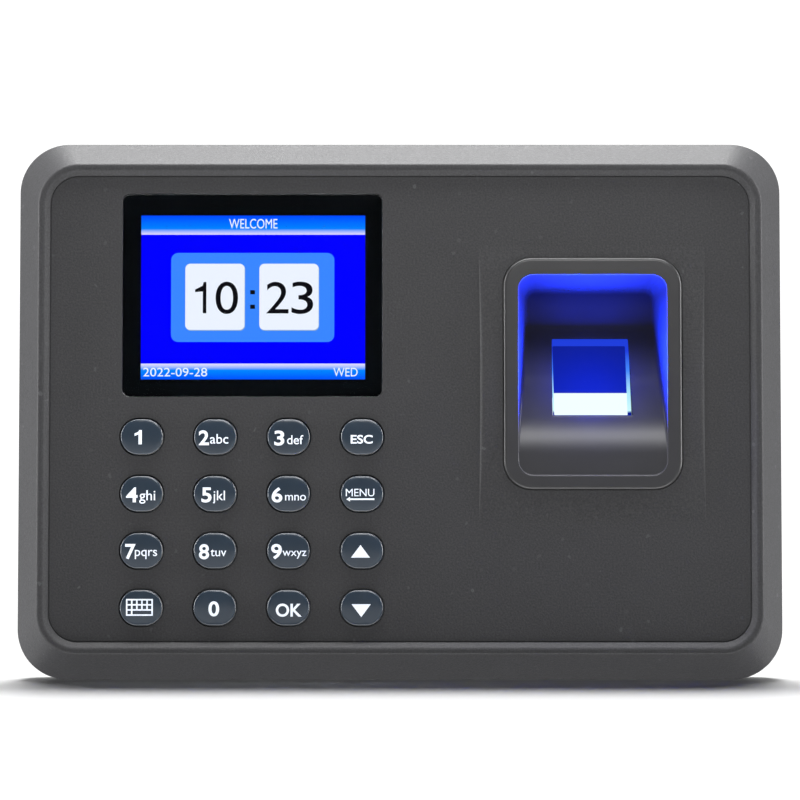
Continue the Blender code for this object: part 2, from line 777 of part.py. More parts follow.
def sockets(materials):
    """The USB host socket and the 5 V barrel socket. Both are built along X, mouth at -X."""

    def slab(low, high, x_range):
        """Corners of a block in X, between (z, depth) corners, as two rings."""
        outline = ((low[0], low[1]), (high[0], low[1]), (high[0], high[1]), (low[0], high[1]))
        return [[(x, y_at(depth), z) for z, depth in outline] for x in x_range]

    back = MAIN_BOARD_FRONT - GAP
    usb_low = (USB_Z - USB_SIZE[0] / 2, back - USB_SIZE[1])
    usb_high = (USB_Z + USB_SIZE[0] / 2, back)
    sheet = 0.4 * MM
    mouth = USB_FACE_X
    usb = loft("usb_socket", slab(usb_low, usb_high, (mouth, mouth + SOCKET_LENGTH)), materials["steel"])
    inside_low = tuple(value + sheet for value in usb_low)
    inside_high = tuple(value - sheet for value in usb_high)
    cavity = loft(
        "usb_cavity_cut", slab(inside_low, inside_high, (mouth - MM, mouth + 10 * MM))
    )
    tongue_front = back - sheet - 2.0 * MM
    tongue = loft(
        "usb_tongue",
        slab(
            (USB_Z - 5.2 * MM, tongue_front - 1.8 * MM),
            (USB_Z + 5.2 * MM, tongue_front),
            (mouth + 1.2 * MM, mouth + 11 * MM),
        ),
    )
    join(cut(usb, cavity), tongue)

    dc_low = (DC_Z - DC_SIZE[0] / 2, back - DC_SIZE[1])
    dc_high = (DC_Z + DC_SIZE[0] / 2, back)
    jack = loft(
        "dc_socket", slab(dc_low, dc_high, (DC_FACE_X, DC_FACE_X + SOCKET_LENGTH)), materials["chip"]
    )
    middle = (0, y_at(back - DC_SIZE[1] / 2), DC_Z)
    barrel = turned(
        "dc_barrel_cut",
        ((3.05 * MM, DC_FACE_X - MM), (3.05 * MM, DC_FACE_X + 10 * MM)),
        axis="X",
        steps=14,
        location=middle,
    )
    pin = turned(
        "dc_pin",
        (
            (0.6 * MM, DC_FACE_X + 0.8 * MM),
            (1 * MM, DC_FACE_X + 1.3 * MM),
            (1 * MM, DC_FACE_X + 11 * MM),
        ),
        axis="X",
        steps=10,
        location=middle,
    )
    join(cut(jack, barrel), pin)


# ---------------------------------------------------------------- leads


def leads(materials):
    """The ribbon between the boards, the sensor's lead and the speaker's lead, each held at both ends."""
    ribbon_from = y_at(FRONT_BOARD_FRONT + BOARD_THICKNESS + 2.2 * MM + GAP)
    ribbon_to = y_at(MAIN_BOARD_FRONT - 3.5 * MM - GAP)
    bow = 7 * MM
    steps = 8
    thickness = 0.8 * MM
    outer, inner = [], []
    for step in range(steps + 1):
        share = step / steps
        y = ribbon_from + (ribbon_to - ribbon_from) * share
        z = bow * math.sin(math.pi * share)
        outer.append((y, z))
        inner.append((y, z - thickness))
    profile = outer + inner[::-1]
    loft(
        "board_ribbon",
        [[(x * MM, y, z) for y, z in profile] for x in (-21, -7)],
        materials["cable"],
    )
    lead("sensor_lead", sensor_lead_route(), 1.2 * MM, materials["cable"])
    lead("speaker_lead", speaker_lead_route(), 0.9 * MM, materials["cable"])


def sensor_lead_route():
    """From the sensor board's connector round to the main board's right-hand connector."""
    end_depth = MAIN_BOARD_FRONT - 3.5 * MM
    return (
        (39.6 * MM, 17.9 * MM, -4.7 * MM),
        (34 * MM, 18.2 * MM, -4.9 * MM),
        (28 * MM, 17 * MM, -3.5 * MM),
        (21 * MM, 14.4 * MM, -0.5 * MM),
        (16 * MM, 15 * MM, 0),
        (15 * MM, end_depth - 0.4 * MM, 0),
    )


def speaker_lead_route():
    """From the speaker's rim to the main board's lower connector."""
    end_depth = MAIN_BOARD_FRONT - 3.5 * MM
    return (
        (59.3 * MM, 26.1 * MM, -14 * MM),
        (59 * MM, 24.6 * MM, -14.2 * MM),
        (54 * MM, 22.8 * MM, -16.5 * MM),
        (40 * MM, 20.5 * MM, -21 * MM),
        (26 * MM, 16.5 * MM, -18 * MM),
        (16 * MM, 14.5 * MM, -17 * MM),
        (15 * MM, end_depth - 1.3 * MM, -17 * MM),
    )


def lead(name, route, radius, material):
    """A round lead along a smooth curve through (x, depth, z) points."""
    line = bpy.data.curves.new(name, "CURVE")
    line.dimensions = "3D"
    line.bevel_depth = radius
    line.bevel_resolution = 2
    line.use_fill_caps = True
    points = smooth_route([(x, y_at(depth), z) for x, depth, z in route])
    spline = line.splines.new("POLY")
    spline.points.add(len(points) - 1)
    for point, place in zip(spline.points, points):
        point.co = (*place, 1)
    made = bpy.data.objects.new(name, line)
    bpy.context.scene.collection.objects.link(made)
    line.materials.append(material)


def smooth_route(points, per_span=3):
    """Catmull-Rom points through the given ones."""
    padded = [points[0], *points, points[-1]]
    made = []
    for before, start, end, after in zip(padded, padded[1:], padded[2:], padded[3:]):
        for step in range(per_span):
            t = step / per_span
            made.append(
                tuple(
                    0.5
                    * (
                        2 * b
                        + (c - a) * t
                        + (2 * a - 5 * b + 4 * c - d) * t**2
                        + (3 * b - a - 3 * c + d) * t**3
                    )
                    for a, b, c, d in zip(before, start, end, after)
                )
            )
    return made + [points[-1]]


# ---------------------------------------------------------------- back shell, speaker and wall plate


def back_shell(materials):
    """The rear cup, with the wall plate's seat, hook slots, sockets' openings and screw wells."""
    top = (WIDTH - 2 * BACK_INSET, HEIGHT - 2 * BACK_INSET)
    rear = grown(top, -BACK_DRAFT)
    drop = BACK_INSET + BACK_DRAFT  # keeps the underside level with the front shell's
    lip = grown(top, GAP - LIP_THICKNESS)
    lip_radius = CORNER_RADIUS - LIP_THICKNESS
    lip_front = PARTING_DEPTH + LIP_DEPTH + GAP
    sections = (
        (grown(rear, -3 * MM), CORNER_RADIUS - 3 * MM, BACK_FACE, drop),
        (grown(rear, -0.9 * MM), CORNER_RADIUS - 0.9 * MM, BACK_FACE - 0.9 * MM, drop),
        (rear, CORNER_RADIUS, BACK_FACE - 3 * MM, drop),
        (top, CORNER_RADIUS, PARTING_DEPTH + GAP, BACK_INSET),
        (lip, lip_radius, PARTING_DEPTH + GAP, 0),
        (lip, lip_radius, lip_front, 0),
        (grown(top, -WALL), CORNER_RADIUS - WALL, lip_front, 0),
        (grown(rear, -WALL), CORNER_RADIUS - WALL, BACK_INNER - 1 * MM, 0),
        (grown(rear, -WALL - 1 * MM), CORNER_RADIUS - WALL - 1 * MM, BACK_INNER, 0),
    )
    rings = [
        ring(rounded_rect(size, radius, (0, -fall)), y_at(depth))
        for size, radius, depth, fall in sections
    ]
    shell = loft("back_shell", rings, materials["casing"])

    pocket_low = (-PLATE_SIZE[0] / 2 - 0.5 * MM, -PLATE_SIZE[1] / 2 - HOOK_LIFT)
    pocket_high = (PLATE_SIZE[0] / 2 + 0.5 * MM, PLATE_SIZE[1] / 2 + 0.5 * MM)
    pad = prisms(
        "plate_pad",
        [
            box_outline(
                tuple(value - 2 * MM for value in pocket_low),
                tuple(value + 2 * MM for value in pocket_high),
            )
        ],
        y_at(PAD_FRONT),
        y_at(BACK_INNER + 0.5 * MM),
    )
    join(shell, pad, *back_posts(), tongue_block(), speaker_seat())

    tongue_half = TONGUE_WIDTH / 2 + 0.4 * MM
    plate_cut = prisms(
        "plate_pocket_cut",
        [box_outline(pocket_low, pocket_high)],
        y_at(POCKET_FLOOR),
        y_at(DEPTH),
    )
    tongue_cut = prisms(
        "tongue_pocket_cut",
        [box_outline((-tongue_half, -HEIGHT), (tongue_half, 0))],
        y_at(POCKET_FLOOR),
        y_at(DEPTH + MM),
    )
    flange_cut = prisms(
        "flange_notch_cut",
        [box_outline((-tongue_half, -HEIGHT), (tongue_half, -62.6 * MM))],
        y_at(18.6 * MM),
        y_at(DEPTH + 2 * MM),
    )
    return cut(shell, plate_cut, tongue_cut, flange_cut, *back_cuts())


def tongue_block():
    """Solid plastic above the wall plate's flange, which its screw bites into."""
    half = TONGUE_WIDTH / 2 + 2.5 * MM
    return prisms(
        "tongue_block",
        [box_outline((-half, -63.5 * MM), (half, -52 * MM))],
        y_at(18 * MM),
        y_at(BACK_INNER + 0.5 * MM),
    )


def speaker_seat():
    """A low round wall that the speaker sits in."""
    return frame_ring("speaker_seat", SPEAKER_RADIUS + 0.4 * MM, SPEAKER_RADIUS + 1.8 * MM)


def frame_ring(name, inner, outer):
    front, back = y_at(BACK_INNER - 2 * MM), y_at(BACK_INNER + 0.5 * MM)
    order = ((outer, front), (outer, back), (inner, back), (inner, front))
    rings = [ring(circle(radius, SPEAKER_CENTRE, 24), y) for radius, y in order]
    return loft(name, rings, capped=False)


def back_posts():
    case = [circle(4.2 * MM, centre, 14) for centre in CASE_POSTS]
    board = [circle(2.6 * MM, centre, 10) for centre in MAIN_POSTS]
    board_end = MAIN_BOARD_FRONT + BOARD_THICKNESS + GAP
    return (
        prisms("case_bosses", case, y_at(PARTING_DEPTH + GAP), y_at(BACK_INNER + 0.5 * MM)),
        prisms("main_board_posts", board, y_at(board_end), y_at(BACK_INNER + 0.5 * MM)),
    )


def back_cuts():
    """Everything drilled or pierced through the back shell."""
    wells = [circle(3.1 * MM, centre, 14) for centre in CASE_POSTS]
    shanks = [circle(1.6 * MM, centre, 10) for centre in CASE_POSTS]
    board = [circle(1.05 * MM, centre, 8) for centre in MAIN_POSTS]
    slots = []
    for side in (-1, 1):
        middle, half = side * HOOK_X, HOOK_WIDTH / 2 + 0.4 * MM
        top = HOOK_Z + PLATE_THICKNESS / 2 + GAP
        slots.append(box_outline((middle - half, top - HOOK_LIFT - 1.2 * MM), (middle + half, top)))
    grille = []
    for row in range(-2, 3):
        half = math.sqrt(11**2 - (4 * row) ** 2) * MM
        centre = (SPEAKER_CENTRE[0], SPEAKER_CENTRE[1] + 4 * row * MM)
        grille.append(rounded_rect((2 * half, 1.6 * MM), 0.79 * MM, centre, 2))
    usb_half = USB_SIZE[0] / 2 + 0.4 * MM
    usb_back = MAIN_BOARD_FRONT - GAP
    usb = prisms(
        "usb_opening_cut",
        [box_outline((-WIDTH, USB_Z - usb_half), (-86 * MM, USB_Z + usb_half))],
        y_at(usb_back - USB_SIZE[1] - 0.4 * MM),
        y_at(usb_back + 0.4 * MM),
    )
    dc = turned(
        "dc_opening_cut",
        ((3.8 * MM, -WIDTH), (3.8 * MM, -86 * MM)),
        axis="X",
        steps=18,
        location=(0, y_at(usb_back - DC_SIZE[1] / 2), DC_Z),
    )
    lock = turned(
        "plate_screw_hole_cut",
        ((1.1 * MM, -66 * MM), (1.1 * MM, -54.5 * MM)),
        axis="Z",
        steps=8,
        location=(0, y_at(24 * MM), 0),
    )
    return (
        prisms("screw_wells_cut", wells, y_at(20 * MM), y_at(DEPTH)),
        prisms("screw_shanks_cut", shanks, y_at(PARTING_DEPTH - MM), y_at(20.5 * MM)),
        prisms("main_board_post_holes_cut", board, y_at(20 * MM), y_at(26.6 * MM)),
        prisms("hook_slots_cut", slots, y_at(PAD_FRONT - MM), y_at(POCKET_FLOOR + MM)),
        prisms("speaker_grille_cut", grille, y_at(BACK_INNER - 0.6 * MM), y_at(DEPTH)),
        usb,
        dc,
        lock,
    )


def speaker(materials):
    front = BACK_INNER - GAP
    turned(
        "speaker",
        (
            (7 * MM, y_at(front - 5.2 * MM)),
            (7.5 * MM, y_at(front - 4.8 * MM)),
            (7.5 * MM, y_at(front - 3 * MM)),
            (12 * MM, y_at(front - 1.2 * MM)),
            (SPEAKER_RADIUS, y_at(front - 1.2 * MM)),
            (SPEAKER_RADIUS, y_at(front)),
        ),
        materials["chip"],
        steps=20,
        location=(SPEAKER_CENTRE[0], 0, SPEAKER_CENTRE[1]),
    )


def wall_plate(materials):
    """Pressed steel: a flat plate, two upward hooks and a tongue whose flange turns in under the casing."""
    front, back = y_at(PLATE_FRONT), y_at(DEPTH)
    plate = prisms(
        "wall_plate", [rounded_rect(PLATE_SIZE, 3 * MM, steps=3)], front, back, materials["steel"]
    )
    half = TONGUE_WIDTH / 2
    sheet = PLATE_THICKNESS
    tongue = prisms(
        "plate_tongue", [box_outline((-half, TONGUE_BOTTOM), (half, -30 * MM))], front, back
    )
    flange = prisms(
        "plate_flange",
        [box_outline((-half, TONGUE_BOTTOM), (half, TONGUE_BOTTOM + sheet))],
        y_at(19 * MM),
        front + 0.2 * MM,
    )
    arms, lips = [], []
    hook_back = PAD_FRONT - 0.4 * MM
    hook_front = hook_back - sheet
    for side in (-1, 1):
        low_x, high_x = side * HOOK_X - HOOK_WIDTH / 2, side * HOOK_X + HOOK_WIDTH / 2
        low_z = HOOK_Z - sheet / 2
        arms.append(box_outline((low_x, low_z), (high_x, low_z + sheet)))
        lips.append(box_outline((low_x, low_z), (high_x, low_z + sheet + 3.6 * MM)))
    arms = prisms("hook_arms", arms, y_at(hook_front + 0.1 * MM), front + 0.2 * MM)
    lips = prisms("hook_lips", lips, y_at(hook_front), y_at(hook_back))
    join(plate, tongue, flange, arms, lips)

    keyholes, slots = [], []
    for x in (-44 * MM, 44 * MM):
        for z in (15 * MM, -30 * MM):
            keyholes.append(circle(4 * MM, (x, z), 16))
            slots.append(rounded_rect((4.4 * MM, 9 * MM), 2.19 * MM, (x, z + 4.5 * MM), 4))
    lock = turned(
        "flange_hole_cut",
        (
            (1.7 * MM, TONGUE_BOTTOM + sheet + MM),
            (1.7 * MM, TONGUE_BOTTOM + sheet - 0.2 * MM),
            (3.1 * MM, TONGUE_BOTTOM - 0.2 * MM),
        ),
        axis="Z",
        location=(0, y_at(24 * MM), 0),
    )
    holes = prisms("keyholes_cut", keyholes, front - MM, back + MM)
    narrow = prisms("keyhole_slots_cut", slots, front - MM, back + MM)
    return cut(plate, holes, narrow, lock)


# ---------------------------------------------------------------- screws


def screw_mesh(name, head_radius, head_height, shank_radius, length):
    """A pan-head screw along Y: its head's underside is at its origin and its point lies towards -Y."""
    profile = (
        (head_radius * 0.75, head_height),
        (head_radius, head_height * 0.55),
        (head_radius, 0),
        (shank_radius, 0),
        (shank_radius, -length * 0.85),
        (shank_radius * 0.4, -length),
    )
    mesh = bmesh.new()
    add_loft(mesh, [ring(circle(radius, steps=10), y) for radius, y in profile])
    return finish_mesh(name, mesh)


def screws(materials):
    """Four each for the casing, front board, main board and finger guide, and the plate's lock screw."""
    case = screw_mesh("case_screw", 2.7 * MM, 1.8 * MM, 1.15 * MM, 10.5 * MM)
    small = screw_mesh("board_screw", 2.1 * MM, 1.2 * MM, 0.95 * MM, 5.4 * MM)
    short = screw_mesh("short_screw", 2.1 * MM, 1.2 * MM, 0.95 * MM, 4.0 * MM)
    board_back = FRONT_BOARD_FRONT + BOARD_THICKNESS
    groups = (
        ("case_screw", case, CASE_POSTS, 20 * MM + GAP, 0),
        ("front_board_screw", small, FRONT_POSTS, board_back + GAP, 0),
        ("guide_screw", short, GUIDE_POSTS, GUIDE_FLANGE_BACK + GAP, 0),
        ("main_board_screw", short, MAIN_POSTS, MAIN_BOARD_FRONT - GAP, math.pi),
    )
    for name, mesh, places, depth, turn in groups:
        for number, (x, z) in enumerate(places, 1):
            add_object(
                f"{name}_{number}", mesh, materials["steel"], location=(x, y_at(depth), z), tilt=turn
            )
    turned(
        "wall_plate_screw",
        (
            (2.7 * MM, 0),
            (1.35 * MM, 1.1 * MM),
            (0.95 * MM, 1.5 * MM),
            (0.95 * MM, 8.5 * MM),
        ),
        materials["steel"],
        steps=12,
        axis="Z",
        location=(0, y_at(24 * MM), TONGUE_BOTTOM),
    )


def main():
    for old in list(bpy.data.objects):
        bpy.data.objects.remove(old)
    materials = make_materials()
    front_shell(materials)
    screen(materials)
    keys(materials)
    keypad_mat(materials)
    finger_guide(materials)
    sensor_module(materials)
    front_board(materials)
    main_board(materials)
    leads(materials)
    back_shell(materials)
    speaker(materials)
    wall_plate(materials)
    screws(materials)


main()
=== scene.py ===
"""Looks of a wall-mounted fingerprint attendance terminal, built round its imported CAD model.

Every length is in metres in the CAD frame: +Z up, +X to the viewer's right, the front faces -Y. A depth is
a distance behind the front rim's plane, and a pair (x, z) is a place on the front.
"""

import json
import math

import bmesh
import bpy
from mathutils import Matrix, Vector


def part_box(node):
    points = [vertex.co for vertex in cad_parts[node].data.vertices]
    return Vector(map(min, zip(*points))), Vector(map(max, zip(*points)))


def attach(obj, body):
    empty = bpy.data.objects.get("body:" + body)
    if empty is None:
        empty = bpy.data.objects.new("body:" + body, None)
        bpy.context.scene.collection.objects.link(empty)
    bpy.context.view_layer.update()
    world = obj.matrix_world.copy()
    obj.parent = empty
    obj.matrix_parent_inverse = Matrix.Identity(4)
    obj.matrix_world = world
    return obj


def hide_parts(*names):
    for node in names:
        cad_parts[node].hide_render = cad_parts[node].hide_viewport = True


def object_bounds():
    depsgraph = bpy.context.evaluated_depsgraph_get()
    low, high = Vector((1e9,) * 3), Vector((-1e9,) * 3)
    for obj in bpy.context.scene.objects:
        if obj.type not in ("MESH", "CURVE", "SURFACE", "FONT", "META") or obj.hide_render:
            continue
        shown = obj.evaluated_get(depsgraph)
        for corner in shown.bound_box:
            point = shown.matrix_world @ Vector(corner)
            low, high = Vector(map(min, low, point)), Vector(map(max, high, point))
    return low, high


MM = 0.001
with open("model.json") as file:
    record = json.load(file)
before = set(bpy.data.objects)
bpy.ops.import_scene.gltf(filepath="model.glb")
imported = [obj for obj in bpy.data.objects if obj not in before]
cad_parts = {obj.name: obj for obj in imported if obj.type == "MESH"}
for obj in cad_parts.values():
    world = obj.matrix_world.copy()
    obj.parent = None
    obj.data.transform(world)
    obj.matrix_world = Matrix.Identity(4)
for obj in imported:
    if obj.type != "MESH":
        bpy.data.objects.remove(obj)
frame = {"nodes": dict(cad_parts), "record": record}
cad_low, cad_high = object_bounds()
BODY = "terminal"

# Casing, as the CAD model has it
CASING_LOW, CASING_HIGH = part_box("front_shell")
WIDTH = CASING_HIGH.x - CASING_LOW.x
HEIGHT = CASING_HIGH.z - CASING_LOW.z
FRONT = CASING_LOW.y
CORNER_RADIUS = 12 * MM
RIM_RADIUS = 9.6 * MM
RIM_INSET = (6.1 * MM, 6.6 * MM)
RIM_WIDTH = 1.3 * MM
CHAMFER_WIDTH = 1.35 * MM
SKIRT_DEPTH = 13 * MM
PARTING_DEPTH = 14 * MM
LIP_THICKNESS = 1.2 * MM
WALL = 2.2 * MM
PANEL_DEPTH = 1.3 * MM
PANEL_BACK = 3.3 * MM
BACK_FACE = 30 * MM
BACK_INSET = 0.3 * MM
BACK_DRAFT = 0.8 * MM
POCKET_FLOOR = 27.8 * MM

# Raised area round the finger guide
PLATEAU_CENTRE = (45.9 * MM, 5.75 * MM)
PLATEAU_SIZE = (54.3 * MM, 70 * MM)
PLATEAU_RISE = 0.95 * MM
PLATEAU_FLANK = 0.65  # run of the long edges' flanks for each unit of rise

# Finger guide
COLLAR_SIZE = (42.7 * MM, 55.5 * MM)
COLLAR_RADIUS = 6.8 * MM
COLLAR_EDGE = 0.9 * MM
POCKET_SIZE = (35.5 * MM, 48.0 * MM)
POCKET_LOW = 0.4 * MM  # how far the pocket sits below the collar's middle
POCKET_RADIUS = 3.6 * MM
POCKET_END_RADIUS = 2.4 * MM
POCKET_DRAFT = (0.18, 0.21)
POCKET_DEPTH = 12 * MM
POCKET_EDGE = 0.18 * MM
GUIDE_THICKNESS = 1.6 * MM
GUIDE_FLANGE_FRONT = 5.3 * MM
REST_TOP_Z = 19.8 * MM
REST_TOP_HALF = 0.2 * MM
REST_BEND_Z = -6.2 * MM
REST_BEND_HALF = 5 * MM
LIP_FACE_DEPTH = 0.4 * MM
REST_SLOPE = math.atan2(POCKET_DEPTH - LIP_FACE_DEPTH, REST_TOP_Z - REST_BEND_Z)
SENSOR_OPENING = (19.2 * MM, 19.5 * MM)
SENSOR_OPENING_Z = 7.9 * MM
SENSOR_OPENING_FLARE = 0.022  # the opening widens this much per unit of height, towards its bottom
DEEP_SHADE = 0.22  # painted shade: how bright the guide's colour stays deep in its pocket

# Keys
KEY_SIZE = (10.0 * MM, 8.35 * MM)
KEY_CORNER = (4.1 * MM, 4.15 * MM)
KEY_HOLE_GAP = 0.38 * MM
KEY_TOP = 0.35 * MM
KEY_CROWN = 0.12 * MM
KEY_EDGE = 0.32 * MM
LEGEND_LIFT = 0.025 * MM

# Screen image, in the display's own millimetres
DISPLAY_CENTRE = (-35.2 * MM, 26.65 * MM)
DISPLAY_SIZE = (53.7 * MM, 39.4 * MM)
IMAGE_DEPTH = 3.15 * MM
IMAGE_LAYER = 0.012 * MM

# Wall plate
PLATE_THICKNESS = 1.4 * MM
PLATE_FRONT = 29.6 * MM


def y_at(depth):
    """The Y coordinate of a depth behind the front rim's plane."""
    return FRONT + depth


def middle(node):
    """The centre of a CAD node's box."""
    low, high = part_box(node)
    return (low + high) / 2


def front_centre(node):
    """The centre of a CAD node's box as a place on the front."""
    return (middle(node).x, middle(node).z)


# ---------------------------------------------------------------- outlines and meshes


def rounded_rect(size, radius, centre=(0, 0), steps=8, sides=(1, 1)):
    """A rectangle with elliptical corners, anticlockwise seen from the front.

    radius is one number or (x, z); sides is how many stretches the horizontal and vertical sides have."""
    radius_x, radius_z = radius if isinstance(radius, tuple) else (radius, radius)
    corners = []
    for quarter, (side_x, side_z) in enumerate(((1, 1), (-1, 1), (-1, -1), (1, -1))):
        x = centre[0] + side_x * (size[0] / 2 - radius_x)
        z = centre[1] + side_z * (size[1] / 2 - radius_z)
        angles = [(quarter + step / steps) * math.pi / 2 for step in range(steps + 1)]
        corners.append([(x + radius_x * math.cos(a), z + radius_z * math.sin(a)) for a in angles])
    points = []
    for index, corner in enumerate(corners):
        points += corner
        end, start = corner[-1], corners[(index + 1) % 4][0]
        for step in range(1, sides[index % 2]):
            points.append(mix(end, start, step / sides[index % 2]))
    return points


def box_between(low, high, radius, growth=0.0, steps=8):
    """A rounded rectangle between two opposite corners, grown all round."""
    size = (high[0] - low[0], high[1] - low[1])
    centre = ((low[0] + high[0]) / 2, (low[1] + high[1]) / 2)
    return rounded_rect(grown(size, growth), radius, centre, steps)


def circle(radius, centre=(0, 0), steps=40):
    angles = [2 * math.pi * step / steps for step in range(steps)]
    return [(centre[0] + radius * math.cos(a), centre[1] + radius * math.sin(a)) for a in angles]


def box_outline(low, high):
    return [(high[0], high[1]), (low[0], high[1]), (low[0], low[1]), (high[0], low[1])]


def grown(size, amount):
    """A (width, height) with this much added all round."""
    return tuple(side + 2 * amount for side in size)


def ring(outline, y):
    return [(x, y, z) for x, z in outline]


def rings_along_x(outline, places):
    """A ring of a (y, z) outline at each X coordinate."""
    return [[(x, y, z) for y, z in outline] for x in places]


def rounding(edge, steps, first=0):
    """A quarter circle over an edge, as (what is left of the inset, drop) pairs."""
    for step in range(first, steps + 1):
        angle = step / steps * math.pi / 2
        yield edge * (1 - math.sin(angle)), edge * (1 - math.cos(angle))


def mix(a, b, share):
    """The point, or tuple of numbers, that share of the way from a to b."""
    return tuple(p + (q - p) * share for p, q in zip(a, b))


def rounded_path(points, radii, steps=5):
    """A path of number tuples, each corner eased over its radius. The first two numbers measure lengths."""
    path = [points[0]]
    for before, corner, after, radius in zip(points, points[1:], points[2:], radii):
        if radius == 0:
            path.append(corner)
            continue
        reach = []
        for end in (before, after):
            length = math.dist(corner[:2], end[:2])
            reach.append(mix(corner, end, min(radius / length, 0.49)))
        for step in range(steps + 1):
            share = step / steps
            path.append(mix(mix(reach[0], corner, share), mix(corner, reach[1], share), share))
    return path + [points[-1]]


def add_loft(mesh, rings, capped=True):
    """Joins rings of equally many points by quads. Uncapped, the last ring joins the first."""
    made = [[mesh.verts.new(point) for point in points] for points in rings]
    pairs = list(zip(made, made[1:]))
    if capped:
        mesh.faces.new(made[0])
        mesh.faces.new(made[-1])
    else:
        pairs.append((made[-1], made[0]))
    for first, second in pairs:
        for i in range(len(first)):
            j = (i + 1) % len(first)
            mesh.faces.new((first[i], first[j], second[j], second[i]))


def smooth(data, sharp=40):
    """Smooth shading, but for edges sharper than this many degrees."""
    data.shade_smooth()
    data.set_sharp_from_angle(angle=math.radians(sharp))


def mesh_data(name, mesh):
    data = bpy.data.meshes.new(name)
    mesh.to_mesh(data)
    mesh.free()
    return data


def mesh_from(name, mesh, sharp=40):
    bmesh.ops.recalc_face_normals(mesh, faces=mesh.faces)
    data = mesh_data(name, mesh)
    smooth(data, sharp)
    return data


def add_object(name, data, material=None):
    made = bpy.data.objects.new(name, data)
    bpy.context.scene.collection.objects.link(made)
    if material:
        data.materials.clear()
        data.materials.append(material)
    return made


def loft(name, rings, material=None, capped=True, sharp=40):
    mesh = bmesh.new()
    add_loft(mesh, rings, capped)
    return flat_faces_flat(add_object(name, mesh_from(name, mesh, sharp), material))


def prisms(name, outlines, front, back, material=None):
    """Straight prisms between two depths."""
    mesh = bmesh.new()
    for outline in outlines:
        add_loft(mesh, [ring(outline, y_at(front)), ring(outline, y_at(back))])
    return add_object(name, mesh_from(name, mesh), material)


def flared_cutter(name, outline_at, surface, back, rim):
    """A cutter whose mouth widens along a quarter circle, so the hole it cuts has a rounded edge."""
    rings = [ring(outline_at(rim), surface - 3 * MM)]
    for growth, drop in rounding(rim, 4):
        rings.append(ring(outline_at(growth), surface + drop))
    rings.append(ring(outline_at(0), back))
    return loft(name, rings)


def turned(name, profile, material=None, axis="Y", at=(0, 0, 0)):
    """A solid of revolution about an axis, from (radius, distance along the axis) pairs."""
    order = {"Y": (0, 1, 2), "X": (1, 0, 2), "Z": (0, 2, 1)}[axis]
    rings = []
    for radius, along in profile:
        points = ring(circle(radius, steps=48), along)
        rings.append([tuple(point[i] + offset for i, offset in zip(order, at)) for point in points])
    return loft(name, rings, material)


def evaluated_mesh(target):
    graph = bpy.context.evaluated_depsgraph_get()
    return bpy.data.meshes.new_from_object(target.evaluated_get(graph), depsgraph=graph)


def carve(target, additions=(), cuts=()):
    """Joins and cuts with Booleans, applies them and removes the tools."""
    steps = [("UNION", tool) for tool in additions] + [("DIFFERENCE", tool) for tool in cuts]
    for operation, tool in steps:
        modifier = target.modifiers.new(tool.name, "BOOLEAN")
        modifier.operation = operation
        modifier.object = tool
    data = evaluated_mesh(target)
    target.modifiers.clear()
    target.data = data
    for _, tool in steps:
        bpy.data.objects.remove(tool)
    smooth(data)
    return flat_faces_flat(target)


def flat_faces_flat(target):
    """Keeps a large flat face's shading flat where it meets small rounded ones."""
    modifier = target.modifiers.new("weighted normals", "WEIGHTED_NORMAL")
    modifier.keep_sharp = True
    modifier.weight = 60
    return target


def bevelled(target, width, segments):
    """Rounds a carved piece's sharp edges, ahead of the weighted normals."""
    target.modifiers.clear()
    modifier = target.modifiers.new("edges", "BEVEL")
    modifier.width = width
    modifier.segments = segments
    modifier.limit_method = "ANGLE"
    modifier.angle_limit = math.radians(40)
    modifier.harden_normals = False
    return flat_faces_flat(target)


def stand_in(piece, slot, *nodes, body=BODY):
    """The piece rides on a body and hides the CAD nodes it stands for; its slot is not used."""
    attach(piece, body)
    if nodes:
        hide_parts(*nodes)
    return piece


# ---------------------------------------------------------------- materials


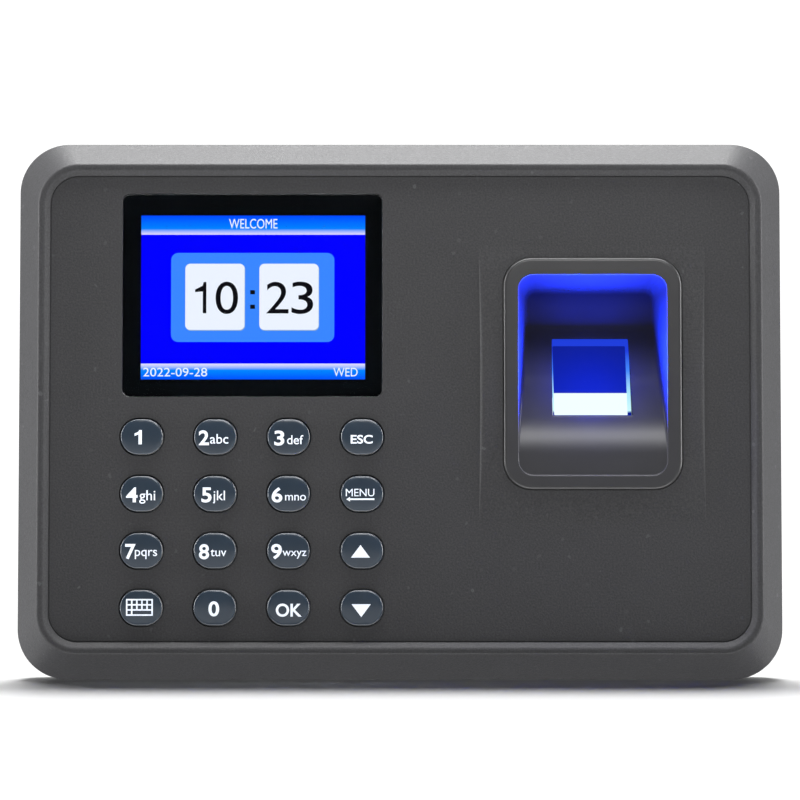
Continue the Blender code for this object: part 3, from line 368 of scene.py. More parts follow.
class Nodes:
    """A material's node tree, with short calls to add and join nodes."""

    def __init__(self, name):
        self.material = bpy.data.materials.new(name)
        self.material.use_nodes = True
        self.tree = self.material.node_tree
        self.shader = self.tree.nodes["Principled BSDF"]

    def add(self, kind, **values):
        made = self.tree.nodes.new(kind)
        for key, value in values.items():
            setattr(made, key, value)
        return made

    def join(self, output, target):
        self.tree.links.new(output, target)

    def set(self, **values):
        """Sets the shader's own sockets: names have underscores for spaces."""
        for key, value in values.items():
            self.shader.inputs[key.replace("_", " ")].default_value = value

    def coordinates(self, kind="Object"):
        if not hasattr(self, "_coordinates"):
            self._coordinates = self.add("ShaderNodeTexCoord")
        return self._coordinates.outputs[kind]

    def texture(self, kind, size, stretch=(1, 1, 1)):
        """A texture whose features are about size across."""
        mapping = self.add("ShaderNodeMapping")
        mapping.inputs["Scale"].default_value = tuple(s / size for s in stretch)
        self.join(self.coordinates(), mapping.inputs["Vector"])
        made = self.add(kind)
        made.inputs["Scale"].default_value = 1
        self.join(mapping.outputs["Vector"], made.inputs["Vector"])
        return made

    def noise(self, size, detail=2.0, roughness=0.5, stretch=(1, 1, 1)):
        made = self.texture("ShaderNodeTexNoise", size, stretch)
        made.inputs["Detail"].default_value = detail
        made.inputs["Roughness"].default_value = roughness
        return made.outputs["Fac"]

    def ramp(self, source, *stops):
        """A colour ramp over (position, colour or grey) stops."""
        made = self.add("ShaderNodeValToRGB")
        elements = made.color_ramp.elements
        while len(elements) < len(stops):
            elements.new(0.5)
        for element, (position, colour) in zip(elements, stops):
            element.position = position
            element.color = (*((colour,) * 3 if isinstance(colour, (int, float)) else colour), 1)
        self.join(source, made.inputs["Fac"])
        return made.outputs["Color"]

    def between(self, source, low, high, source_low=0.0, source_high=1.0):
        """Maps source_low..source_high to low..high."""
        made = self.add("ShaderNodeMapRange")
        set_range(made, source_low, source_high, low, high)
        self.join(source, made.inputs["Value"])
        return made.outputs["Result"]

    def part(self, kind, axis):
        """One axis of the coordinates."""
        split = self.add("ShaderNodeSeparateXYZ")
        self.join(self.coordinates(kind), split.inputs["Vector"])
        return split.outputs[axis]

    def maths(self, operation, *values):
        """A sum over outputs and plain numbers."""
        made = self.add("ShaderNodeMath", operation=operation)
        for value, socket in zip(values, made.inputs):
            if isinstance(value, (int, float)):
                socket.default_value = value
            else:
                self.join(value, socket)
        return made.outputs["Value"]

    def multiplied(self, a, b):
        """Two colours multiplied."""
        made = self.add("ShaderNodeMix", data_type="RGBA", blend_type="MULTIPLY")
        made.inputs["Factor"].default_value = 1
        self.join(a, made.inputs["A"])
        self.join(b, made.inputs["B"])
        return made.outputs["Result"]

    def colour(self, output):
        self.join(output, self.shader.inputs["Base Color"])

    def roughness(self, output):
        self.join(output, self.shader.inputs["Roughness"])

    def bump(self, height, strength, distance):
        made = self.add("ShaderNodeBump")
        made.inputs["Strength"].default_value = strength
        made.inputs["Distance"].default_value = distance
        self.join(height, made.inputs["Height"])
        self.join(made.outputs["Normal"], self.shader.inputs["Normal"])

    def glow(self, output):
        self.join(output, self.shader.inputs["Emission Color"])


def set_range(node, *values):
    """Sets a map range node's numbers: from and to this value, from and to this result."""
    for key, value in zip(("From Min", "From Max", "To Min", "To Max"), values):
        node.inputs[key].default_value = value


def shade(colour, factor):
    return tuple(channel * factor for channel in colour)


def grained_plastic(name, colour, grain, depth, roughness, specular=0.5, flecks=0.0):
    """Spark-eroded moulded plastic: a fine pitted grain, a faint cloudiness and a few paler flecks."""
    nodes = Nodes(name)
    nodes.set(Specular_IOR_Level=specular)
    cloud = nodes.noise(9 * MM, detail=3)
    fine = nodes.noise(grain, detail=3, roughness=0.65)
    tone = nodes.ramp(fine, (0.3, shade(colour, 0.7)), (0.52, colour), (0.75, shade(colour, 1.4)))
    result = nodes.multiplied(tone, nodes.ramp(cloud, (0.25, 0.93), (0.75, 1.0)))
    if flecks:
        cells = nodes.texture("ShaderNodeTexVoronoi", grain * 1.6)
        speck = nodes.ramp(cells.outputs["Color"], (0.93, 0.0), (0.99, 1.0))
        flecked = nodes.add("ShaderNodeMix", data_type="RGBA")
        flecked.inputs["B"].default_value = (*shade(colour, 1 + flecks), 1)
        nodes.join(speck, flecked.inputs["Factor"])
        nodes.join(result, flecked.inputs["A"])
        result = flecked.outputs["Result"]
    nodes.colour(result)
    nodes.roughness(nodes.between(nodes.noise(grain * 1.5), roughness - 0.09, roughness + 0.09))
    nodes.bump(fine, 1.0, depth)
    return nodes.material


def smooth_plastic(name, colour, roughness, ripple=0.004, coat=0.0, specular=0.5, sheen=0.0, recess=False):
    """Polished moulding: faint orange peel and slight tone and gloss variation. With recess, painted shade
    darkens a pocket's walls and back, and dulls their gloss.
    """
    nodes = Nodes(name)
    nodes.set(Specular_IOR_Level=specular, Coat_Weight=coat, Coat_Roughness=0.12, Sheen_Weight=sheen)
    tone = nodes.ramp(nodes.noise(6 * MM, 3), (0.25, shade(colour, 0.9)), (0.75, shade(colour, 1.08)))
    gloss = nodes.between(nodes.noise(2 * MM, 4), roughness - 0.04, roughness + 0.05)
    if recess:
        # painted shade, darker down the pocket's walls and near its back, multiplied into the colour
        depth = painted_recess_shade(nodes)
        tone = nodes.multiplied(tone, depth)
        gloss = nodes.maths("SUBTRACT", 1 + roughness, depth)
    nodes.colour(tone)
    nodes.roughness(gloss)
    nodes.bump(nodes.noise(0.5 * MM, 2), 0.5, ripple * MM)
    return nodes.material


def painted_recess_shade(nodes):
    """Painted shade: darkens a pocket's walls, and everything near its back."""
    place, facing = nodes.part("Object", "Y"), nodes.part("Normal", "Y")
    by_depth = nodes.between(place, 1.0, DEEP_SHADE, y_at(5.5 * MM), y_at(11 * MM))
    walls = nodes.between(facing, 1.0, DEEP_SHADE, -0.75, -0.4)
    mouth = nodes.between(place, 1.0, 0.0, y_at(0.1 * MM), y_at(0.5 * MM))
    return nodes.maths("MINIMUM", by_depth, nodes.maths("MAXIMUM", walls, mouth))


def metal(name, colour, roughness, stretch=(1, 1, 1), grain=0.4 * MM):
    """Plated or rolled sheet: fine scratches along one axis and a mottled finish."""
    nodes = Nodes(name)
    nodes.set(Metallic=1.0)
    streaks = nodes.noise(grain, 4, 0.7, stretch)
    mottle = nodes.noise(5 * MM, 4)
    tone = nodes.ramp(mottle, (0.3, shade(colour, 0.85)), (0.7, colour))
    nodes.colour(tone)
    nodes.roughness(nodes.between(streaks, roughness - 0.1, roughness + 0.12))
    nodes.bump(streaks, 0.4, 0.01 * MM)
    return nodes.material


def circuit_board(name):
    """Green solder mask with copper tracks showing through."""
    nodes = Nodes(name)
    nodes.set(Coat_Weight=0.4, Coat_Roughness=0.2)
    brick = nodes.add("ShaderNodeTexBrick", offset=0.37, squash=0.6)
    brick.inputs["Scale"].default_value = 260
    brick.inputs["Mortar Size"].default_value = 0.06
    brick.inputs["Color1"].default_value = (0.004, 0.07, 0.03, 1)
    brick.inputs["Color2"].default_value = (0.006, 0.09, 0.04, 1)
    brick.inputs["Mortar"].default_value = (0.03, 0.2, 0.08, 1)
    turn = nodes.add("ShaderNodeMapping")
    turn.inputs["Rotation"].default_value = (math.pi / 2, 0, 0)
    nodes.join(nodes.coordinates(), turn.inputs["Vector"])
    nodes.join(turn.outputs["Vector"], brick.inputs["Vector"])
    nodes.colour(brick.outputs["Color"])
    nodes.roughness(nodes.between(nodes.noise(1 * MM), 0.3, 0.45))
    nodes.bump(brick.outputs["Fac"], 0.3, 0.03 * MM)
    return nodes.material


def rubbery(name, colour, roughness, grain):
    nodes = Nodes(name)
    fine = nodes.noise(grain, 4, 0.6)
    nodes.colour(nodes.ramp(fine, (0.3, shade(colour, 0.75)), (0.7, shade(colour, 1.2))))
    nodes.roughness(nodes.between(fine, roughness - 0.1, roughness + 0.05))
    nodes.bump(fine, 0.6, 0.04 * MM)
    return nodes.material


def clear_pane(name, tint, roughness=0.03, ior=1.49):
    """Hard-coated clear plastic: almost no tint and a trace of surface ripple."""
    nodes = Nodes(name)
    nodes.set(Transmission_Weight=1.0, IOR=ior, Base_Color=(*tint, 1))
    nodes.roughness(nodes.between(nodes.noise(4 * MM, 3), roughness - 0.01, roughness + 0.015))
    nodes.bump(nodes.noise(7 * MM, 1), 0.15, 0.01 * MM)
    return nodes.material


def lit(name, strength):
    """The nodes of a surface that only gives light."""
    nodes = Nodes(name)
    nodes.set(Base_Color=(0, 0, 0, 1), Specular_IOR_Level=0.0, Roughness=0.6, Emission_Strength=strength)
    return nodes


def glowing(name, colour, strength, grid=0.0):
    """A lit colour. grid darkens fine lines between a display's dots."""
    nodes = lit(name, strength)
    nodes.glow(nodes.ramp(nodes.noise(0.18 * MM, 1), (0.3, shade(colour, 1 - grid)), (0.7, colour)))
    return nodes.material


def graded_glow(name, strength, *stops):
    """A lit surface whose colour follows its height, from (share, colour) stops."""
    nodes = lit(name, strength)
    nodes.glow(nodes.ramp(nodes.part("Generated", "Z"), *stops))
    return nodes.material


def make_materials():
    grey = (0.032, 0.032, 0.034)
    backlight = 1.15
    return {
        "casing": grained_plastic("casing grain", grey, 0.45 * MM, 0.07 * MM, 0.54, 0.2, flecks=0.9),
        # the guide's colour carries painted shade in its pocket
        "guide": smooth_plastic(
            "guide satin painted shade", (0.021, 0.021, 0.0225), 0.32, 0.001, specular=0.4, recess=True
        ),
        "window": clear_pane("window pane", (0.96, 0.97, 0.98)),
        "print": smooth_plastic("window print", (0.0025, 0.004, 0.005), 0.9, specular=0.0),
        "key": smooth_plastic("key gloss", (0.008, 0.019, 0.034), 0.2, coat=0.4, sheen=0.3),
        "legend": smooth_plastic("legend ink", (0.8, 0.86, 0.98), 0.4),
        "rubber": rubbery("silicone", (0.08, 0.08, 0.085), 0.75, 0.3 * MM),
        "foam": rubbery("gasket foam", (0.02, 0.02, 0.02), 0.9, 0.5 * MM),
        "tray": metal("tray sheet", (0.8, 0.81, 0.83), 0.35, (1, 1, 8)),
        "steel": metal("plated steel", (0.62, 0.63, 0.64), 0.36, (1, 1, 10)),
        "screw": metal("screw plating", (0.5, 0.5, 0.5), 0.3),
        "board": circuit_board("solder mask"),
        "chip": smooth_plastic("moulded black", (0.015, 0.015, 0.016), 0.45, 0.01),
        "lens": clear_pane("sensor lens glass", (0.7, 0.75, 0.9), 0.05),
        "cable": smooth_plastic("lead insulation", (0.42, 0.42, 0.43), 0.45, 0.01),
        "contact": metal("gold contact", (0.9, 0.66, 0.28), 0.25),
        "screen_back": glowing("screen blue", (0.0, 0.0, 1.0), backlight, 0.05),
        "screen_card": glowing("screen card", (0.042, 0.238, 1.0), backlight, 0.03),
        "screen_white": glowing("screen white", (0.83, 0.88, 0.98), backlight, 0.02),
        "screen_ink": glowing("screen ink", (0.004, 0.004, 0.006), backlight),
        "screen_text": glowing("screen text", (0.86, 0.93, 1.0), backlight, 0.05),
        "screen_shadow": glowing("screen shadow", (0.28, 0.42, 0.6), backlight),
        "screen_header": graded_glow(
            "screen header", backlight,
            (0.0, (0.8, 0.72, 1.0)), (0.1, (0.5, 0.55, 1.0)), (0.3, (0.0, 0.22, 1.0)),
            (1.0, (0.0, 0.06, 1.0)),
        ),
        "screen_footer": graded_glow(
            "screen footer", backlight,
            (0.0, (0.0, 0.07, 1.0)), (0.6, (0.0, 0.24, 1.0)), (0.85, (0.5, 0.58, 1.0)),
            (1.0, (0.8, 0.75, 1.0)),
        ),
        "sensor_face": sensor_face_material(),
        "sensor_strip": glowing("sensor strip", (0.86, 1.0, 0.99), 1.05),
        "sensor_frame": graded_glow(
            "sensor light guide", 1.0,
            (0.0, (0.0, 0.01, 0.3)), (0.07, (0.0, 0.01, 0.3)), (0.1, (0.6, 0.95, 1.0)),
            (0.3, (0.45, 0.85, 1.0)), (0.6, (0.06, 0.25, 1.0)),
            (0.85, (0.015, 0.05, 0.75)), (1.0, (0.015, 0.05, 0.7)),
        ),
    }


def sensor_face_material():
    """A polished coated prism face, lit from below: deep blue, paler towards its bottom edge."""
    nodes = Nodes("sensor face")
    nodes.set(Base_Color=(0.002, 0.003, 0.01, 1), Specular_IOR_Level=0.15, Emission_Strength=1.0)
    stops = (
        (0.0, (0.01, 0.06, 0.8)), (0.06, (0.003, 0.016, 0.42)), (0.5, (0.002, 0.012, 0.32)),
        (1.0, (0.002, 0.01, 0.24)),
    )
    nodes.glow(nodes.ramp(nodes.part("Generated", "Z"), *stops))
    nodes.roughness(nodes.between(nodes.noise(1.5 * MM), 0.2, 0.3))
    return nodes.material


# ---------------------------------------------------------------- front casing


def casing_ring(section):
    """A ring of the casing from (inset along X, depth, inset along Z, corner radius)."""
    inset_x, depth, inset_z, radius = section
    size = (WIDTH - 2 * inset_x, HEIGHT - 2 * inset_z)
    return ring(rounded_rect(size, radius, steps=24), y_at(depth))


def casing_front(materials):
    """Skirt, rim, chamfer, panel groove and panel, with rounded edges at every change."""
    rim_x, rim_z = RIM_INSET
    inner = (rim_x + RIM_WIDTH, rim_z + RIM_WIDTH)
    panel = (inner[0] + CHAMFER_WIDTH, inner[1] + CHAMFER_WIDTH)
    radius = RIM_RADIUS - RIM_WIDTH - CHAMFER_WIDTH
    groove = 0.22 * MM

    def at(offset, depth, corner=radius):
        return (panel[0] + offset, depth, panel[1] + offset, corner - offset)

    sections = [
        at(groove + 0.1 * MM, PANEL_DEPTH), at(groove, PANEL_DEPTH + 0.08 * MM),
        at(groove, PANEL_DEPTH + groove), at(0, PANEL_DEPTH + groove), at(0, PANEL_DEPTH - 0.05 * MM),
        (inner[0], 0, inner[1], RIM_RADIUS - RIM_WIDTH), (rim_x, 0, rim_z, RIM_RADIUS),
        (0, SKIRT_DEPTH, 0, CORNER_RADIUS), (0, PARTING_DEPTH, 0, CORNER_RADIUS),
        (LIP_THICKNESS, PARTING_DEPTH, LIP_THICKNESS, CORNER_RADIUS - LIP_THICKNESS),
        (WALL, PARTING_DEPTH, WALL, CORNER_RADIUS - WALL), (WALL, SKIRT_DEPTH, WALL, CORNER_RADIUS - WALL),
        (panel[0] - 0.6 * MM, PANEL_BACK, panel[1] - 0.6 * MM, radius),
    ]
    radii = [0, 0, 0, 0.1, 0.45, 0.5, 0.7, 0.25, 0, 0, 0]
    profile = rounded_path(sections, [r * MM for r in radii])
    shell = loft("casing_front", [casing_ring(section) for section in profile], materials["casing"])

    low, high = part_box("screen_window")

    def window_outline(growth):
        return box_between(low.xz, high.xz, 1.8 * MM + growth, 0.12 * MM + growth)

    def collar_outline(growth):
        centre = front_centre("finger_guide")
        size = grown(COLLAR_SIZE, 0.06 * MM + growth)
        return rounded_rect(size, COLLAR_RADIUS + growth, centre, 20, (20, 40))

    panel_y = y_at(PANEL_DEPTH)
    cuts = [
        flared_cutter("window seat", window_outline, panel_y, y_at(PANEL_BACK + MM), 0.08 * MM),
        flared_cutter("guide opening", collar_outline, panel_y - 0.3 * MM, y_at(PANEL_BACK + MM), 0.08 * MM),
    ]
    for name in KEY_LEGENDS:
        centre = front_centre(name)
        cuts.append(
            flared_cutter(
                f"{name} hole", lambda growth, centre=centre: key_outline(KEY_HOLE_GAP + growth, centre),
                panel_y, y_at(PANEL_BACK + MM), 0.1 * MM,
            )
        )
    carve(shell, [raised_area()], cuts)
    return stand_in(shell, "casing", "front_shell")


def raised_area():
    """The swelling round the finger guide: arched in height, its long edges softly rounded."""
    half_x, half_z = PLATEAU_SIZE[0] / 2, PLATEAU_SIZE[1] / 2
    sink = 0.1 * MM
    behind = y_at(PANEL_DEPTH + MM)
    rings = []
    for step in range(61):
        z = -half_z + 2 * half_z * step / 60
        rise = (PLATEAU_RISE + sink) * (1 - (z / half_z) ** 2) - sink
        run = PLATEAU_FLANK * (rise + sink) + 0.02 * MM
        crest = [
            (half_x - (1 + share) * run, y_at(PANEL_DEPTH - rise) + drop * (rise + sink))
            for share, drop in ((1.2, 0), (0.7, 0.03), (0.3, 0.11), (0, 0.24), (-0.2, 0.4), (-0.8, 1))
        ]
        section = [(-half_x, behind)] + [(-x, y) for x, y in reversed(crest)] + crest + [(half_x, behind)]
        rings.append([(PLATEAU_CENTRE[0] + x, y, PLATEAU_CENTRE[1] + z) for x, y in section])
    return loft("raised area", rings)


# ---------------------------------------------------------------- keys

# Text as (words, left and right edges, baseline, weight) in millimetres from the key's centre
DIGIT_WEIGHT = 0.022
LETTER_WEIGHT = 0.003
KEY_LEGENDS = {
    "key_1": [],
    "key_2": [("2", -3.9, -1.45, -1.9, DIGIT_WEIGHT), ("abc", -1.2, 3.15, -1.6, LETTER_WEIGHT)],
    "key_3": [("3", -3.4, -1.0, -1.95, DIGIT_WEIGHT), ("def", -0.35, 3.5, -1.75, LETTER_WEIGHT)],
    "key_escape": [("ESC", -2.7, 2.55, -1.55, DIGIT_WEIGHT)],
    "key_4": [("4", -3.65, -0.9, -1.95, DIGIT_WEIGHT), ("ghi", -0.5, 3.3, -1.55, LETTER_WEIGHT)],
    "key_5": [("5", -3.2, -0.8, -1.95, DIGIT_WEIGHT), ("jkl", -0.5, 2.4, -1.55, LETTER_WEIGHT)],
    "key_6": [("6", -4.0, -1.45, -1.95, DIGIT_WEIGHT), ("mno", -0.8, 4.15, -1.6, LETTER_WEIGHT)],
    "key_menu": [("MENU", -3.85, 2.95, -0.6, 0.0)],
    "key_7": [("7", -3.8, -1.3, -1.85, DIGIT_WEIGHT), ("pqrs", -1.5, 3.8, -1.25, LETTER_WEIGHT)],
    "key_8": [("8", -3.75, -1.35, -1.9, DIGIT_WEIGHT), ("tuv", -1.0, 2.75, -1.3, LETTER_WEIGHT)],
    "key_9": [("9", -4.1, -1.55, -1.85, DIGIT_WEIGHT), ("wxyz", -1.4, 4.3, -1.25, LETTER_WEIGHT)],
    "key_up": [], "key_input_mode": [], "key_0": [("0", -1.45, 1.1, -1.9, DIGIT_WEIGHT)],
    "key_ok": [("OK", -2.95, 3.2, -2.0, DIGIT_WEIGHT)], "key_down": [],
}


def key_outline(growth, centre=(0, 0), steps=12):
    corner = tuple(radius + growth for radius in KEY_CORNER)
    return rounded_rect(grown(KEY_SIZE, growth), corner, centre, steps, (4, 2))


def key_crown(x, z):
    """The depth of a key's face at a place measured from its centre."""
    reach = (x / (KEY_SIZE[0] / 2)) ** 2 + (z / (KEY_SIZE[1] / 2)) ** 2
    return KEY_TOP + KEY_CROWN * min(reach, 1)


def key_cap(name, materials):
    """A crowned cap with a rounded edge and a skirt, and the flange that keeps it behind the panel."""
    centre = front_centre(name)
    flange_front = PANEL_BACK + 0.3 * MM
    rings = []
    for share in (0.12, 0.3, 0.5, 0.7, 0.85, 1):
        outline = [(x * share, z * share) for x, z in key_outline(-KEY_EDGE)]
        rings.append([(centre[0] + x, y_at(key_crown(x, z)), centre[1] + z) for x, z in outline])
    crown_edge = KEY_TOP + KEY_CROWN
    for inset, drop in rounding(KEY_EDGE, 6, 1):
        share = inset / KEY_EDGE
        row = []
        for x, z in key_outline(-inset):
            depth = drop + share * key_crown(x, z) + (1 - share) * crown_edge
            row.append((centre[0] + x, y_at(depth), centre[1] + z))
        rings.append(row)
    flange, flange_back = 0.7 * MM, flange_front + 0.8 * MM
    for growth, depth in ((0, flange_front), (flange, flange_front), (flange, flange_back)):
        rings.append(ring(key_outline(growth, centre), y_at(depth)))
    cap = loft(f"{name}_cap", rings, materials["key"], sharp=50)
    return stand_in(cap, "key", name, body=name)


def text_outline(words, weight):
    """The filled letters of some words as triangles in their own plane: (points, faces)."""
    line = bpy.data.curves.new(words, "FONT")
    line.body = words
    line.offset = weight
    line.resolution_u = 6
    holder = add_object(words, line)
    data = evaluated_mesh(holder)
    points = [(vertex.co.x, vertex.co.y) for vertex in data.vertices]
    faces = [tuple(face.vertices) for face in data.polygons]
    bpy.data.objects.remove(holder)
    bpy.data.curves.remove(line)
    bpy.data.meshes.remove(data)
    return points, faces


def fitted_text(words, left, right, baseline, weight, height=None):
    """Text scaled to reach from left to right, its baseline at a height, as (points, faces)."""
    points, faces = text_outline(words, weight)
    low = min(x for x, _ in points)
    high = max(x for x, _ in points)
    scale = (right - left) / (high - low)
    scale_z = scale
    if height:
        tall = max(z for _, z in points) - max(0, min(z for _, z in points))
        scale_z = height / tall
    return [(left + (x - low) * scale, baseline + z * scale_z) for x, z in points], faces


def figure_one(left, right, baseline, height, stem):
    """The figure 1 as a stem with a flag."""
    top = baseline + height
    points = [
        (right - stem, baseline), (right, baseline), (right, top), (right - 0.75 * stem, top),
        (right - 1.1 * stem, top - 0.12 * height), (left, top - 0.24 * height),
        (left, top - 0.24 * height - 0.75 * stem), (right - stem, top - 0.3 * height),
    ]
    return points, [tuple(range(len(points)))]


def rectangle(low, high):
    return box_outline(low, high), [(0, 1, 2, 3)]


def menu_arrow():
    """The long arrow under the menu key's word: a shaft and a head that points left."""
    shaft = rectangle((-3.1, -1.5), (2.95, -1.12))
    head = ([(-3.75, -1.31), (-2.85, -1.85), (-2.85, -0.77)], [(0, 1, 2)])
    return [shaft, head]


def keyboard_icon():
    """A small keyboard: a frame, bars between two rows of five keys, and a space bar in the third."""
    left, right, low, high = -3.55, 2.85, -1.9, 2.1
    line = 0.36
    rows = [low + (high - low - line) * i / 3 for i in range(4)]
    columns = [left + (right - left - line) * i / 5 for i in range(6)]
    shapes = [rectangle((left, z), (right, z + line)) for z in rows]
    for index, x in enumerate(columns):
        bottom = low if index in (0, 1, 5) else rows[1]
        shapes.append(rectangle((x, bottom), (x + line, high)))
    return shapes


def key_marks(name):
    """The flat shapes printed on a key, in millimetres from its centre."""
    height = {"key_escape": 2.0, "key_menu": 1.75, "key_ok": 3.0}
    shapes = []
    for words, left, right, baseline, weight in KEY_LEGENDS[name]:
        tall = 3.45 if words.isdigit() else height.get(name)
        shapes.append(fitted_text(words, left, right, baseline, weight, tall))
    if name == "key_1":
        shapes.append(figure_one(-1.7, 0.05, -1.8, 3.4, 0.8))
    if name == "key_menu":
        shapes += menu_arrow()
    if name == "key_input_mode":
        shapes += keyboard_icon()
    if name == "key_up":
        shapes.append(([(-2.6, -1.65), (1.9, -1.65), (-0.35, 1.35)], [(0, 1, 2)]))
    if name == "key_down":
        shapes.append(([(-2.45, 0.85), (-0.15, -2.2), (2.1, 0.85)], [(0, 1, 2)]))
    return shapes


def flat_shapes(shapes, place):
    """A mesh of (points, faces) shapes, each point put where place says."""
    mesh = bmesh.new()
    for points, faces in shapes:
        made = [mesh.verts.new(place(x, z)) for x, z in points]
        for face in faces:
            mesh.faces.new([made[i] for i in face])
    return mesh


def key_legend(name, materials):
    """The printed marks, laid on the key's crown."""
    centre = front_centre(name)
    mesh = flat_shapes(key_marks(name), lambda x, z: (x * MM, 0, z * MM))
    bmesh.ops.triangulate(mesh, faces=mesh.faces)
    for _ in range(4):
        long_edges = [edge for edge in mesh.edges if edge.calc_length() > 0.6 * MM]
        bmesh.ops.subdivide_edges(mesh, edges=long_edges, cuts=1)
        bmesh.ops.triangulate(mesh, faces=[face for face in mesh.faces if len(face.verts) > 3])
    for vertex in mesh.verts:
        x, z = vertex.co.x, vertex.co.z
        vertex.co = (centre[0] + x, y_at(key_crown(x, z) - LEGEND_LIFT), centre[1] + z)
    legend = add_object(f"{name}_legend", facing_front(name, mesh), materials["legend"])
    return stand_in(legend, "key", body=name)


def facing_front(name, mesh):
    """A mesh of open faces, all turned to the front."""
    for face in mesh.faces:
        face.normal_update()
        if face.normal.y > 0:
            face.normal_flip()
    return mesh_data(name, mesh)


def keys(materials):
    for name in KEY_LEGENDS:
        key_cap(name, materials)
        key_legend(name, materials)


# ---------------------------------------------------------------- screen


def screen(materials):
    """The clear pane, the black print on its back and the picture that the display shows."""
    low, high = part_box("screen_window")
    size = (high.x - low.x, high.z - low.z)
    centre = front_centre("screen_window")
    edge = 0.1 * MM
    pane_rings = [ring(rounded_rect(grown(size, -edge), 1.5 * MM, centre), low.y)]
    for inset, drop in rounding(edge, 4, 1):
        outline = rounded_rect(grown(size, -inset), 1.7 * MM - inset, centre)
        pane_rings.append(ring(outline, low.y + drop))
    pane_rings.append(ring(rounded_rect(size, 1.7 * MM, centre), high.y))
    stand_in(loft("window_pane", pane_rings, materials["window"]), "window", "screen_window")

    outer = rounded_rect(size, 1.7 * MM, centre)
    inner = rounded_rect(DISPLAY_SIZE, 0.05 * MM, DISPLAY_CENTRE)
    front, back = high.y + 0.02 * MM, high.y + 0.1 * MM
    printed = loft(
        "window_print", [ring(outer, front), ring(outer, back), ring(inner, back), ring(inner, front)],
        materials["print"], capped=False,
    )
    stand_in(printed, "window")
    screen_picture(materials)


def picture_layer(name, shapes, layer, material, materials):
    """Flat lit shapes in the display's millimetres, each layer a little nearer than the one before."""
    y = y_at(IMAGE_DEPTH) - layer * IMAGE_LAYER
    mesh = flat_shapes(shapes, lambda x, z: (DISPLAY_CENTRE[0] + x * MM, y, DISPLAY_CENTRE[1] + z * MM))
    return stand_in(add_object(name, facing_front(name, mesh), materials[material]), "display")


def card(size, radius, centre):
    outline = rounded_rect(size, radius, centre, 8)
    return outline, [tuple(range(len(outline)))]


def screen_picture(materials):
    """A title bar, the time on two cards, and a foot bar with the date and day."""
    half_x, half_z = DISPLAY_SIZE[0] / 2 / MM, DISPLAY_SIZE[1] / 2 / MM
    header = half_z - 4.6
    footer = -half_z + 3.8
    pictures = (
        ("screen_backdrop", [rectangle((-half_x, footer), (half_x, header))], 0, "screen_back"),
        ("screen_header", [rectangle((-half_x, header), (half_x, half_z))], 0, "screen_header"),
        ("screen_footer", [rectangle((-half_x, -half_z), (half_x, footer))], 0, "screen_footer"),
        ("screen_card", [card((39.1, 21.4), 1.7, (-0.1, 0))], 1, "screen_card"),
    )
    for name, shapes, layer, material in pictures:
        picture_layer(name, shapes, layer, material, materials)
    cards = [(-9.15, 14.2), (8.6, 14.2)]
    shadows = [card((width, 16.0), 1.2, (x + 0.12, 0)) for x, width in cards]
    fronts = [card((width, 15.9), 1.2, (x, 0.15)) for x, width in cards]
    picture_layer("screen_card_shadows", shadows, 2, "screen_shadow", materials)
    picture_layer("screen_time_cards", fronts, 3, "screen_white", materials)
    digits = [
        figure_one(-13.9, -11.2, -3.8, 7.5, 0.85), fitted_text("0", -9.0, -3.6, -3.9, 0.0, 7.7),
        fitted_text("2", 3.2, 8.5, -3.85, 0.0, 7.6), fitted_text("3", 9.2, 14.4, -3.9, 0.0, 7.7),
        rectangle((-0.7, 0.75), (0.45, 1.75)), rectangle((-0.7, -2.75), (0.45, -1.75)),
    ]
    picture_layer("screen_digits", digits, 4, "screen_ink", materials)
    words = [
        fitted_text("WELCOME", -5.8, 5.8, header + 1.5, 0.0, 2.3),
        fitted_text("2022-09-28", -half_x + 0.6, -half_x + 15.9, -half_z + 0.75, 0.0, 2.05),
        fitted_text("WED", half_x - 7.6, half_x - 1.8, -half_z + 0.75, 0.0, 2.05),
    ]
    picture_layer("screen_words", words, 4, "screen_text", materials)


# ---------------------------------------------------------------- finger guide


def rest_depth(z):
    """The depth of the pocket's back surface at a height: lip, bend, slope, crease and back wall."""
    slope = math.tan(REST_SLOPE)
    above = z - REST_BEND_Z
    if above <= -REST_BEND_HALF:
        return LIP_FACE_DEPTH
    if above < REST_BEND_HALF:
        return LIP_FACE_DEPTH + slope * (above + REST_BEND_HALF) ** 2 / (4 * REST_BEND_HALF)
    below_crease = REST_TOP_Z + REST_TOP_HALF - z
    if below_crease <= 0:
        return POCKET_DEPTH
    if below_crease < 2 * REST_TOP_HALF:
        return POCKET_DEPTH - slope * below_crease**2 / (4 * REST_TOP_HALF)
    return LIP_FACE_DEPTH + slope * above


GUIDE_STEPS = 10
GUIDE_SIDES = (36, 72)


def guide_outline(size, radius, centre):
    return rounded_rect(size, radius, centre, GUIDE_STEPS, GUIDE_SIDES)


